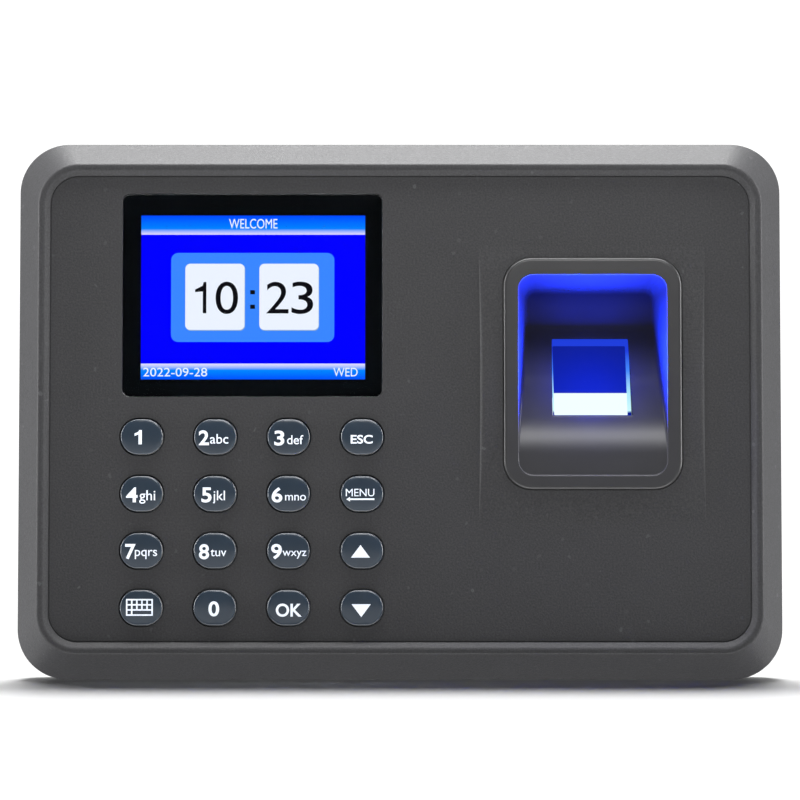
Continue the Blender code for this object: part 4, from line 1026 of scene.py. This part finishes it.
def finger_guide(materials):
    """Collar, tapered pocket and sloping rest as one skin, every edge and crease rounded."""
    centre = front_centre("finger_guide")
    pocket_centre = (centre[0], centre[1] - POCKET_LOW)

    def wall_outline(depth):
        size = tuple(side - 2 * draft * depth for side, draft in zip(POCKET_SIZE, POCKET_DRAFT))
        share = depth / POCKET_DEPTH
        radius = POCKET_RADIUS + (POCKET_END_RADIUS - POCKET_RADIUS) * share
        return guide_outline(size, radius, pocket_centre)

    wall_front, wall_back = wall_outline(0), wall_outline(POCKET_DEPTH)

    def wall_point(index, depth):
        x, z = mix(wall_front[index], wall_back[index], depth / POCKET_DEPTH)
        return (x, depth, z)

    feet = []
    for index in range(len(wall_front)):
        depth = 0.0
        for _ in range(40):
            depth = rest_depth(wall_point(index, depth)[2])
        feet.append(wall_point(index, depth))

    opening = [
        (centre[0] + (x - centre[0]) * (1 - SENSOR_OPENING_FLARE * (z - SENSOR_OPENING_Z) / (10 * MM)), z)
        for x, z in guide_outline(SENSOR_OPENING, 0.5 * MM, (centre[0], SENSOR_OPENING_Z))
    ]

    def rest_point(index, share):
        foot, end = feet[index], opening[index]
        x, z = mix((foot[0], foot[2]), end, share)
        return (x, rest_depth(z), z)

    rings = []
    for depth, inset in rounding(COLLAR_EDGE, 6):
        outline = guide_outline(grown(COLLAR_SIZE, -inset), COLLAR_RADIUS - inset, centre)
        rings.append([(x, depth, z) for x, z in outline])
    lip = guide_outline(grown(POCKET_SIZE, POCKET_EDGE), POCKET_RADIUS + POCKET_EDGE, pocket_centre)
    for step in range(5):
        share = step / 4
        row = []
        for index, (x, z) in enumerate(lip):
            corner = wall_point(index, 0)
            down = wall_point(index, min(POCKET_EDGE, feet[index][1] * 0.6))
            row.append(mix(mix((x, 0.0, z), corner, share), mix(corner, down, share), share))
        rings.append(row)

    fillet = 0.9 * MM

    def ease(index):
        """How far the wall's foot is rounded at a point: less where the wall is low."""
        return min(fillet, 0.5 * max(feet[index][1] - POCKET_EDGE, 0.02 * MM))

    for share in (0.33, 0.67, 1):
        row = []
        for index, foot in enumerate(feet):
            start = min(POCKET_EDGE, foot[1] * 0.6)
            end = foot[1] - ease(index)
            row.append(wall_point(index, start + max(end - start, 0.0) * share))
        rings.append(row)
    for step in range(1, 6):
        share = step / 5
        row = []
        for index, foot in enumerate(feet):
            wall = wall_point(index, max(foot[1] - ease(index), foot[1] * 0.6))
            length = math.dist((foot[0], foot[2]), opening[index])
            inward = rest_point(index, min(ease(index) * 1.2 / length, 0.3))
            row.append(mix(mix(wall, foot, share), mix(foot, inward, share), share))
        rings.append(row)
    first = [min(fillet * 1.2 / math.dist((f[0], f[2]), o), 0.3) for f, o in zip(feet, opening)]
    for step in range(1, 25):
        row = []
        for index in range(len(feet)):
            begin = min(first[index], ease(index) * 1.2 / (fillet * 1.2) * first[index] + 1e-4)
            row.append(rest_point(index, begin + (1 - begin) * step / 24))
        rings.append(row)
    inward = (0, math.cos(REST_SLOPE), -math.sin(REST_SLOPE))
    edge_radius = 0.2 * MM
    for left, sink in rounding(edge_radius, 4, 1):
        shrink = edge_radius - left
        row = []
        for x, depth, z in (rest_point(i, 1) for i in range(len(feet))):
            row.append(
                (
                    x - math.copysign(min(shrink, abs(x - centre[0])), x - centre[0]),
                    depth + inward[1] * sink,
                    z - math.copysign(min(shrink, abs(z - SENSOR_OPENING_Z)), z - SENSOR_OPENING_Z)
                    + inward[2] * sink,
                )
            )
        rings.append(row)
    last = rings[-1]
    rings.append([(x, depth + inward[1] * 1.3 * MM, z + inward[2] * 1.3 * MM) for x, depth, z in last])
    behind = [mix((f[0], f[2]), o, -0.12) for f, o in zip(feet, opening)]
    back = GUIDE_THICKNESS / math.cos(REST_SLOPE)
    rings.append([(x, max(rest_depth(z), 1 * MM) + back, z) for x, z in behind])
    collar = guide_outline(COLLAR_SIZE, COLLAR_RADIUS, centre)
    rings += [[(x, depth, z) for x, z in collar] for depth in (GUIDE_FLANGE_FRONT, COLLAR_EDGE * 1.5)]
    placed = [[(x, y_at(depth), z) for x, depth, z in row] for row in rings]
    guide = loft("finger_rest", placed, materials["guide"], capped=False, sharp=55)
    return stand_in(guide, "guide", "finger_guide")


# ---------------------------------------------------------------- sensor


def sensor_point(x, out, up):
    """A place in the sensor's own frame: across, out of the sloping rest, and up along it."""
    centre_x = middle("finger_guide").x
    cosine, sine = math.cos(REST_SLOPE), math.sin(REST_SLOPE)
    depth = rest_depth(SENSOR_OPENING_Z)
    return (
        centre_x + x, y_at(depth - out * cosine + up * sine), SENSOR_OPENING_Z + out * sine + up * cosine,
    )


SENSOR_HALF = SENSOR_OPENING[1] / 2 / math.cos(REST_SLOPE)
FACE_SINK = 1.95 * MM
STRIP_TOP = -SENSOR_HALF + 7.3 * MM


def sensor_box(name, low, high, front, back, material, slot, node):
    """A rounded block in the sensor's frame, from (x, up) corners and how far out its faces lie."""
    edge = 0.15 * MM
    rings = []
    for inset, out in ((edge, front), (edge * 0.3, front - edge * 0.3), (0, front - edge), (0, back)):
        outline = box_between(low, high, 0.4 * MM, -inset, 4)
        rings.append([sensor_point(x, out, up) for x, up in outline])
    return stand_in(loft(name, rings, material), slot, node)


def sensor(materials):
    """The prism's face, the lit strip under it, and the glowing light guide round both."""
    half_x = SENSOR_OPENING[0] / 2
    face_high = SENSOR_HALF - 0.6 * MM
    sensor_box(
        "sensor_face", (-half_x + 0.1 * MM, STRIP_TOP), (half_x - 0.1 * MM, face_high + 0.4 * MM),
        -FACE_SINK, -FACE_SINK - 5.5 * MM, materials["sensor_face"], "prism", "sensor_prism",
    )
    sensor_box(
        "sensor_strip", (-half_x + 0.35 * MM, -SENSOR_HALF + 1.4 * MM),
        (half_x - 0.3 * MM, STRIP_TOP - 0.05 * MM), -FACE_SINK, -FACE_SINK - 2.5 * MM,
        materials["sensor_strip"], "light", "light_bar",
    )
    light_guide(materials)


def light_guide(materials):
    """A clear frame that lines the opening and glows: its inner sides slope in to the prism's face."""
    half_x = SENSOR_OPENING[0] / 2
    outer_half = (half_x - 0.28 * MM, SENSOR_HALF - 0.3 * MM)

    def outline(inset_left, inset_right, inset_top, inset_bottom):
        low = (-outer_half[0] + inset_left, -outer_half[1] + inset_bottom)
        high = (outer_half[0] - inset_right, outer_half[1] - inset_top)
        return box_between(low, high, 0.3 * MM, 0, 4)

    mouth, throat = -0.25 * MM, -FACE_SINK + 0.03 * MM
    inner = outline(0.3 * MM, 0.75 * MM, 1.05 * MM, 0.1 * MM)
    rings = [
        [sensor_point(x, mouth, up) for x, up in outline(0, 0, 0, 0)],
        [sensor_point(x, throat, up) for x, up in outline(0, 0, 0, 0)],
        [sensor_point(x, throat, up) for x, up in inner],
        [sensor_point(x, mouth - 0.05 * MM, up) for x, up in outline(*(0.12 * MM,) * 4)],
    ]
    frame_piece = loft("sensor_light_guide", rings, materials["sensor_frame"], capped=False)
    stand_in(frame_piece, "light")


# ---------------------------------------------------------------- back casing, plate and sockets

HOOK_X = 40 * MM
HOOK_Z = 32 * MM
HOOK_WIDTH = 8 * MM
HOOK_LIFT = 5 * MM
PLATE_SIZE = (108 * MM, 80 * MM)
TONGUE_WIDTH = 18 * MM
TONGUE_BOTTOM = -64.4 * MM
PAD_FRONT = 25.8 * MM


def back_ring(section):
    """A ring of the back casing from (inset, depth, how far its centre is lowered, corner radius)."""
    inset, depth, drop, radius = section
    size = (WIDTH - 2 * inset, HEIGHT - 2 * inset)
    return ring(rounded_rect(size, radius, (0, -drop), steps=24), y_at(depth))


def casing_back(materials):
    """The rear cup, with its level underside, wall plate seat, hook slots, grille and socket openings."""
    rear = BACK_INSET + BACK_DRAFT
    parting = PARTING_DEPTH + 0.3 * MM
    sections = [
        (rear + 6 * MM, BACK_FACE, rear, CORNER_RADIUS - 4 * MM), (rear, BACK_FACE, rear, CORNER_RADIUS),
        (BACK_INSET, parting, BACK_INSET, CORNER_RADIUS),
        (BACK_INSET + LIP_THICKNESS, parting, 0, CORNER_RADIUS - LIP_THICKNESS),
        (BACK_INSET + WALL, parting, 0, CORNER_RADIUS - WALL),
        (rear + WALL, 27 * MM, 0, CORNER_RADIUS - WALL),
        (rear + WALL + 1 * MM, 28 * MM, 0, CORNER_RADIUS - WALL - 1 * MM),
    ]
    profile = rounded_path(sections, [3 * MM, 0.3 * MM, 0, 0, 0], steps=9)
    shell = loft("casing_back", [back_ring(section) for section in profile], materials["casing"])

    pocket_low = (-PLATE_SIZE[0] / 2 - 0.5 * MM, -PLATE_SIZE[1] / 2 - HOOK_LIFT)
    pocket_high = (PLATE_SIZE[0] / 2 + 0.5 * MM, PLATE_SIZE[1] / 2 + 0.5 * MM)
    grow = 2 * MM
    pad = prisms(
        "pad", [box_outline(tuple(v - grow for v in pocket_low), tuple(v + grow for v in pocket_high))],
        PAD_FRONT, 28.5 * MM,
    )
    tongue_half = TONGUE_WIDTH / 2 + 0.4 * MM
    cuts = [
        prisms("plate seat", [box_outline(pocket_low, pocket_high)], POCKET_FLOOR, 31 * MM),
        prisms(
            "tongue seat", [box_outline((-tongue_half, -HEIGHT), (tongue_half, 0))], POCKET_FLOOR, 32 * MM,
        ),
        prisms(
            "flange notch", [box_outline((-tongue_half, -HEIGHT), (tongue_half, -62.6 * MM))], 18.6 * MM,
            33 * MM,
        ),
    ]
    for number in range(1, 5):
        place = middle(f"case_screw_{number}")
        cuts.append(
            turned(
                f"screw well {number}",
                ((3.3 * MM, 33 * MM), (3.3 * MM, 30.2 * MM), (3.1 * MM, 29.8 * MM), (3.1 * MM, 20 * MM)),
                at=(place.x, FRONT, place.z),
            )
        )
    cuts += [prisms("hook slots", hook_slots(), PAD_FRONT - MM, POCKET_FLOOR + MM)]
    cuts += [prisms("grille", grille_slots(), 27 * MM, 31 * MM), *socket_openings()]
    seat = speaker_seat()
    block = prisms(
        "tongue block", [box_outline((-11.5 * MM, -63.5 * MM), (11.5 * MM, -52 * MM))], 18 * MM, 28.5 * MM,
    )
    carve(shell, [pad, block, seat], cuts)
    return stand_in(shell, "casing", "back_shell")


def speaker_seat():
    place = middle("speaker")
    outer, inner = 15.8 * MM, 14.4 * MM
    front, back = y_at(26 * MM), y_at(28.5 * MM)
    order = ((outer, front), (outer, back), (inner, back), (inner, front))
    rings = [ring(circle(radius, (place.x, place.z)), y) for radius, y in order]
    return loft("speaker seat", rings, capped=False)


def hook_slots():
    top = HOOK_Z + PLATE_THICKNESS / 2 + 0.3 * MM
    half = HOOK_WIDTH / 2 + 0.4 * MM
    return [
        box_outline((side * HOOK_X - half, top - HOOK_LIFT - 1.2 * MM), (side * HOOK_X + half, top))
        for side in (-1, 1)
    ]


def grille_slots():
    """Five rounded slots in front of the speaker, shorter towards the top and bottom."""
    place = middle("speaker")
    slots = []
    for row in range(-2, 3):
        half = math.sqrt(11**2 - (4 * row) ** 2) * MM
        slots.append(rounded_rect((2 * half, 1.6 * MM), 0.79 * MM, (place.x, place.z + 4 * row * MM), 8))
    return slots


def socket_openings():
    """The two mouths through the left side wall."""
    outside, inside = -WIDTH, -86 * MM
    low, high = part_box("usb_socket")
    outline = box_between(low.yz, high.yz, 0.6 * MM, 0.4 * MM, 5)
    usb = loft("usb opening", rings_along_x(outline, (outside, inside)))
    place = middle("dc_socket")
    dc = turned("dc opening", ((3.8 * MM, outside), (3.8 * MM, inside)), axis="X", at=(0, place.y, place.z))
    return [usb, dc]


def wall_plate(materials):
    """Pressed steel plate with keyholes, hooks and a tongue whose flange turns in under the casing."""
    front, back = PLATE_FRONT, cad_high.y - FRONT
    plate = prisms("plate", [rounded_rect(PLATE_SIZE, 3 * MM)], front, back, materials["steel"])
    half = TONGUE_WIDTH / 2
    tongue = prisms("tongue", [box_outline((-half, TONGUE_BOTTOM), (half, -30 * MM))], front, back)
    sheet = PLATE_THICKNESS
    flange = prisms(
        "flange", [box_outline((-half, TONGUE_BOTTOM), (half, TONGUE_BOTTOM + sheet))], 19 * MM,
        front + 0.2 * MM,
    )
    additions = [tongue, flange]
    hook_back = PAD_FRONT - 0.4 * MM
    for side in (-1, 1):
        low_x, high_x = side * HOOK_X - HOOK_WIDTH / 2, side * HOOK_X + HOOK_WIDTH / 2
        low_z = HOOK_Z - sheet / 2
        arm = [box_outline((low_x, low_z), (high_x, low_z + sheet))]
        lip = [box_outline((low_x, low_z), (high_x, low_z + sheet + 3.6 * MM))]
        additions.append(prisms("arm", arm, hook_back - sheet + 0.1 * MM, front + 0.2 * MM))
        additions.append(prisms("hook lip", lip, hook_back - sheet, hook_back))
    cuts = []
    for x in (-44 * MM, 44 * MM):
        for z in (15 * MM, -30 * MM):
            wide = turned("keyhole", ((4 * MM, front - MM), (4 * MM, back + MM)), at=(x, FRONT, z))
            slot = rounded_rect((4.4 * MM, 9 * MM), 2.19 * MM, (x, z + 4.5 * MM), 12)
            cuts += [wide, prisms("keyhole slot", [slot], front - MM, back + MM)]
    cuts.append(
        turned(
            "flange hole",
            (
                (1.7 * MM, TONGUE_BOTTOM + sheet + MM), (1.7 * MM, TONGUE_BOTTOM + sheet - 0.2 * MM),
                (3.1 * MM, TONGUE_BOTTOM - 0.2 * MM),
            ),
            axis="Z",
            at=(0, y_at(24 * MM), 0),
        )
    )
    carve(plate, additions, cuts)
    plate.name = "mounting_plate"
    bevelled(plate, 0.12 * MM, 2)
    return stand_in(plate, "steel", "wall_plate")


def usb_socket(materials):
    """A folded steel shell round a black tongue with four gold contacts."""
    low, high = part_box("usb_socket")
    middle_z = (low.z + high.z) / 2
    sheet, bend = 0.4 * MM, 0.1 * MM
    mouth, end = low.x, low.x + 10 * MM
    rings = []
    for inset, x in (
        (0, high.x), (0, mouth + bend), (bend, mouth),
        (sheet - bend, mouth), (sheet, mouth + bend), (sheet, end),
    ):
        outline = box_between(low.yz, high.yz, max(0.7 * MM - inset, 0.2 * MM), -inset, 5)
        rings += rings_along_x(outline, (x,))
    stand_in(loft("usb_shell", rings, materials["steel"]), "steel", "usb_socket")
    front, back = high.y - sheet - 3.8 * MM, high.y - sheet - 2.0 * MM
    outline = box_between((front, middle_z - 5.2 * MM), (back, middle_z + 5.2 * MM), 0.2 * MM, 0, 3)
    tongue_rings = rings_along_x(outline, (mouth + 1.2 * MM, end - 0.1 * MM))
    stand_in(loft("usb_tongue", tongue_rings, materials["chip"]), "chip")
    mesh = bmesh.new()
    for index in range(4):
        z = middle_z + (index - 1.5) * 2.4 * MM
        contact = box_outline((back - 0.05 * MM, z - 0.5 * MM), (back + 0.12 * MM, z + 0.5 * MM))
        add_loft(mesh, rings_along_x(contact, (mouth + 1.8 * MM, end - 0.2 * MM)))
    stand_in(add_object("usb_contacts", mesh_from("usb_contacts", mesh), materials["contact"]), "steel")


def dc_socket(materials):
    """A black moulded barrel socket with a steel centre pin."""
    low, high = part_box("dc_socket")
    place = middle("dc_socket")
    outline = box_between(low.yz, high.yz, 0.4 * MM, 0, 4)
    body = loft("dc_body", rings_along_x(outline, (low.x, high.x)), materials["chip"])
    at = (0, place.y, place.z)
    wide, narrow = 3.35 * MM, 3.05 * MM
    bore = ((wide, low.x - MM), (wide, low.x), (narrow, low.x + 0.3 * MM), (narrow, low.x + 10 * MM))
    carve(body, (), [turned("bore", bore, axis="X", at=at)])
    stand_in(body, "chip", "dc_socket")
    pin = (
        (0.5 * MM, low.x + 0.8 * MM), (0.9 * MM, low.x + 1.1 * MM), (1 * MM, low.x + 1.5 * MM),
        (1 * MM, low.x + 9.9 * MM),
    )
    stand_in(turned("dc_pin", pin, materials["steel"], axis="X", at=at), "steel")


def cross_recess(at, depth, reach, width, axis="Y"):
    """Two crossed tapered slots that cut a driver's recess into a screw head."""
    tools = []
    for turn in (0, 1):
        rings = []
        for share, level in ((1.25, 0.2 * MM), (1, 0), (0.35, -depth)):
            half = (reach * share, width / 2) if turn == 0 else (width / 2, reach * share)
            outline = box_outline((-half[0], -half[1]), half)
            if axis == "Y":
                rings.append([(at[0] + x, at[1] + level, at[2] + z) for x, z in outline])
            else:
                rings.append([(at[0] + x, at[1] + z, at[2] - level) for x, z in outline])
        tools.append(loft("recess", rings))
    return tools


def screws(materials):
    """The five screws that show: four in the casing's wells and the one under the wall plate."""
    for number in range(1, 5):
        low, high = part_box(f"case_screw_{number}")
        place = middle(f"case_screw_{number}")
        head = high.y
        profile = (
            (1.6 * MM, head), (2.2 * MM, head - 0.12 * MM), (2.6 * MM, head - 0.5 * MM),
            (2.7 * MM, head - 0.9 * MM), (2.7 * MM, head - 1.8 * MM), (1.15 * MM, head - 1.8 * MM),
            (1.15 * MM, low.y + 1.5 * MM), (0.46 * MM, low.y),
        )
        screw = turned(f"rear_screw_{number}", profile, materials["screw"], at=(place.x, 0, place.z))
        carve(screw, (), cross_recess((place.x, head, place.z), 1.2 * MM, 1.35 * MM, 0.5 * MM))
        stand_in(screw, "steel", f"case_screw_{number}")
    low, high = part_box("wall_plate_screw")
    place = middle("wall_plate_screw")
    profile = (
        (2.7 * MM, low.z), (1.35 * MM, low.z + 1.1 * MM), (0.95 * MM, low.z + 1.5 * MM),
        (0.95 * MM, high.z),
    )
    screw = turned("lock_screw", profile, materials["screw"], axis="Z", at=(place.x, place.y, 0))
    carve(screw, (), cross_recess((place.x, place.y, low.z), 0.9 * MM, 1.4 * MM, 0.45 * MM, "Z"))
    stand_in(screw, "steel", "wall_plate_screw")


def speaker(materials):
    """Frame, surround and cone, seen through the grille."""
    low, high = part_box("speaker")
    place = middle("speaker")
    profile = (
        (7 * MM, low.y), (7.5 * MM, low.y + 0.4 * MM), (7.5 * MM, low.y + 2.2 * MM),
        (12 * MM, low.y + 4 * MM), (14 * MM, low.y + 4 * MM), (14 * MM, high.y - 0.1 * MM),
        (13.8 * MM, high.y), (12.6 * MM, high.y), (12 * MM, high.y - 0.5 * MM),
        (11 * MM, high.y - 0.1 * MM), (10 * MM, high.y - 0.6 * MM), (5 * MM, high.y - 2.6 * MM),
        (4.4 * MM, high.y - 2.2 * MM), (1 * MM, high.y - 1.5 * MM),
    )
    made = turned("speaker_unit", profile, materials["chip"], at=(place.x, 0, place.z))
    stand_in(made, "chip", "speaker")


# ---------------------------------------------------------------- hidden CAD nodes


def finish_cad_nodes(materials):
    """Gives each CAD node that stays its own procedural finish, by its slot."""
    finishes = {"display": "screen_back", "prism": "sensor_face", "light": "sensor_strip"}
    slots = {part["node"]: part["material_slot"] for part in frame["record"]["subparts"]}
    for name, node in frame["nodes"].items():
        slot = slots[name]
        finish = "screw" if "screw" in name else finishes.get(slot, slot)
        node.data.materials.clear()
        node.data.materials.append(materials[finish])


# ---------------------------------------------------------------- studio

CAMERA_DISTANCE = 694 * MM
CAMERA_DROP = math.radians(3)
CAMERA_FILM = 36  # millimetres across, as is the focal length
CAMERA_LENS = 131.085
CAMERA_SHIFT = 0.009875
SOFTBOXES = {
    "top softbox": ((0, -0.12, 0.75), (1.0, 0.25), 15),
    "under softbox": ((0, -0.15, -0.5), (1.0, 0.3), 5.0),
    "front softbox": ((0.1, -0.92, 0.43), (0.45, 0.235), 4.8),
    "left softbox": ((-0.6, -0.055, 0.12), (0.1, 0.5), 6.4),
    "right softbox": ((0.6, -0.055, 0.12), (0.1, 0.5), 6.0),
}
SKY_AROUND = (0.8, 0.97, 0.01, 1.15)  # from and to this far backwards, from and to this bright
SKY_ABOVE = (0.965, 0.997, 0.0, 37)


def studio():
    floor_z = cad_low.z
    backdrop = bmesh.new()
    reach = 4.0
    corners = [(-reach, -reach), (reach, -reach), (reach, reach), (-reach, reach)]
    backdrop.faces.new([backdrop.verts.new((x, y, floor_z)) for x, y in corners])
    nodes = Nodes("pale floor")
    nodes.set(Roughness=0.5, Specular_IOR_Level=0.2)
    nodes.colour(nodes.ramp(nodes.noise(0.4, 2), (0.3, 0.89), (0.7, 0.91)))
    floor = add_object("floor", mesh_data("floor", backdrop), nodes.material)

    for name, (place, size, power) in SOFTBOXES.items():
        spare(area_light(name, place, (0, 0, 0), size, power), floor)
    for light in sensor_glow():
        spare(light, floor)
    sky()


def spare(light, floor):
    """The light passes the floor by, as if it came through a glass table."""
    group = bpy.data.collections.new(f"{light.name} spares")
    group.objects.link(floor)
    group.collection_objects[0].light_linking.link_state = "EXCLUDE"
    light.light_linking.receiver_collection = group
    light.light_linking.blocker_collection = group


def aimed(holder, place, aim):
    """Puts a light or camera at a place, looking along aim."""
    holder.location = place
    holder.rotation_euler = aim.to_track_quat("-Z", "Y").to_euler()
    return holder


def area_light(name, place, target, size, power, colour=(1, 1, 1)):
    light = bpy.data.lights.new(name, "AREA")
    light.shape = "RECTANGLE"
    light.size, light.size_y = size
    light.energy = power
    light.color = colour
    holder = aimed(add_object(name, light), place, Vector(target) - Vector(place))
    holder.visible_camera = False
    return holder


def sensor_glow():
    """The blue light that the sensor's window throws on the pocket's walls and back on the rest."""
    blue = (0.007, 0.032, 1.0)
    lights = (
        ("sensor glow", 0.3 * MM, 20 * MM, (17 * MM, 17 * MM), 4.0),
        ("sensor spill", 9 * MM, 0, (9 * MM, 9 * MM), 0.03),
    )
    for name, out, target, size, power in lights:
        place, aim = (sensor_point(0, distance, -1 * MM) for distance in (out, target))
        light = area_light(name, place, aim, size, power, blue)
        light.visible_glossy = False
        yield light


def sky():
    """A white room behind and above the object, brightest high up behind it, with a dim front."""
    world = bpy.data.worlds.new("studio")
    bpy.context.scene.world = world
    world.use_nodes = True
    tree = world.node_tree
    background = tree.nodes["Background"]
    coordinates = tree.nodes.new("ShaderNodeTexCoord").outputs["Generated"]

    def along(direction, low, high, to_low, to_high):
        """A brightness that eases from to_low to to_high as the view turns towards a direction."""
        dot = tree.nodes.new("ShaderNodeVectorMath")
        dot.operation = "DOT_PRODUCT"
        dot.inputs[1].default_value = Vector(direction).normalized()
        tree.links.new(coordinates, dot.inputs[0])
        node = tree.nodes.new("ShaderNodeMapRange")
        node.interpolation_type = "SMOOTHSTEP"
        set_range(node, low, high, to_low, to_high)
        tree.links.new(dot.outputs["Value"], node.inputs["Value"])
        return node.outputs["Result"]

    total = tree.nodes.new("ShaderNodeMath")
    total.operation = "ADD"
    tree.links.new(along((0, 1, 0), *SKY_AROUND), total.inputs[0])
    tree.links.new(along((0, 0.44, 0.9), *SKY_ABOVE), total.inputs[1])
    tree.links.new(total.outputs["Value"], background.inputs["Strength"])
    background.inputs["Color"].default_value = (1, 1, 1, 1)


def camera():
    """Square to the front, a little below its middle and tilted up at it."""
    data = bpy.data.cameras.new("camera")
    data.sensor_width = CAMERA_FILM
    data.lens = CAMERA_LENS
    data.shift_y = CAMERA_SHIFT
    data.clip_start = 0.01
    aim = Vector((0, math.cos(CAMERA_DROP), math.sin(CAMERA_DROP)))
    place = Vector((0, FRONT, 0)) - aim * CAMERA_DISTANCE
    bpy.context.scene.camera = aimed(add_object("camera", data), place, aim)
    bpy.context.scene.view_settings.view_transform = "Standard"


def main():
    camera()
    materials = make_materials()
    finish_cad_nodes(materials)
    casing_front(materials)
    keys(materials)
    screen(materials)
    finger_guide(materials)
    sensor(materials)
    casing_back(materials)
    wall_plate(materials)
    usb_socket(materials)
    dc_socket(materials)
    screws(materials)
    speaker(materials)
    studio()


main()
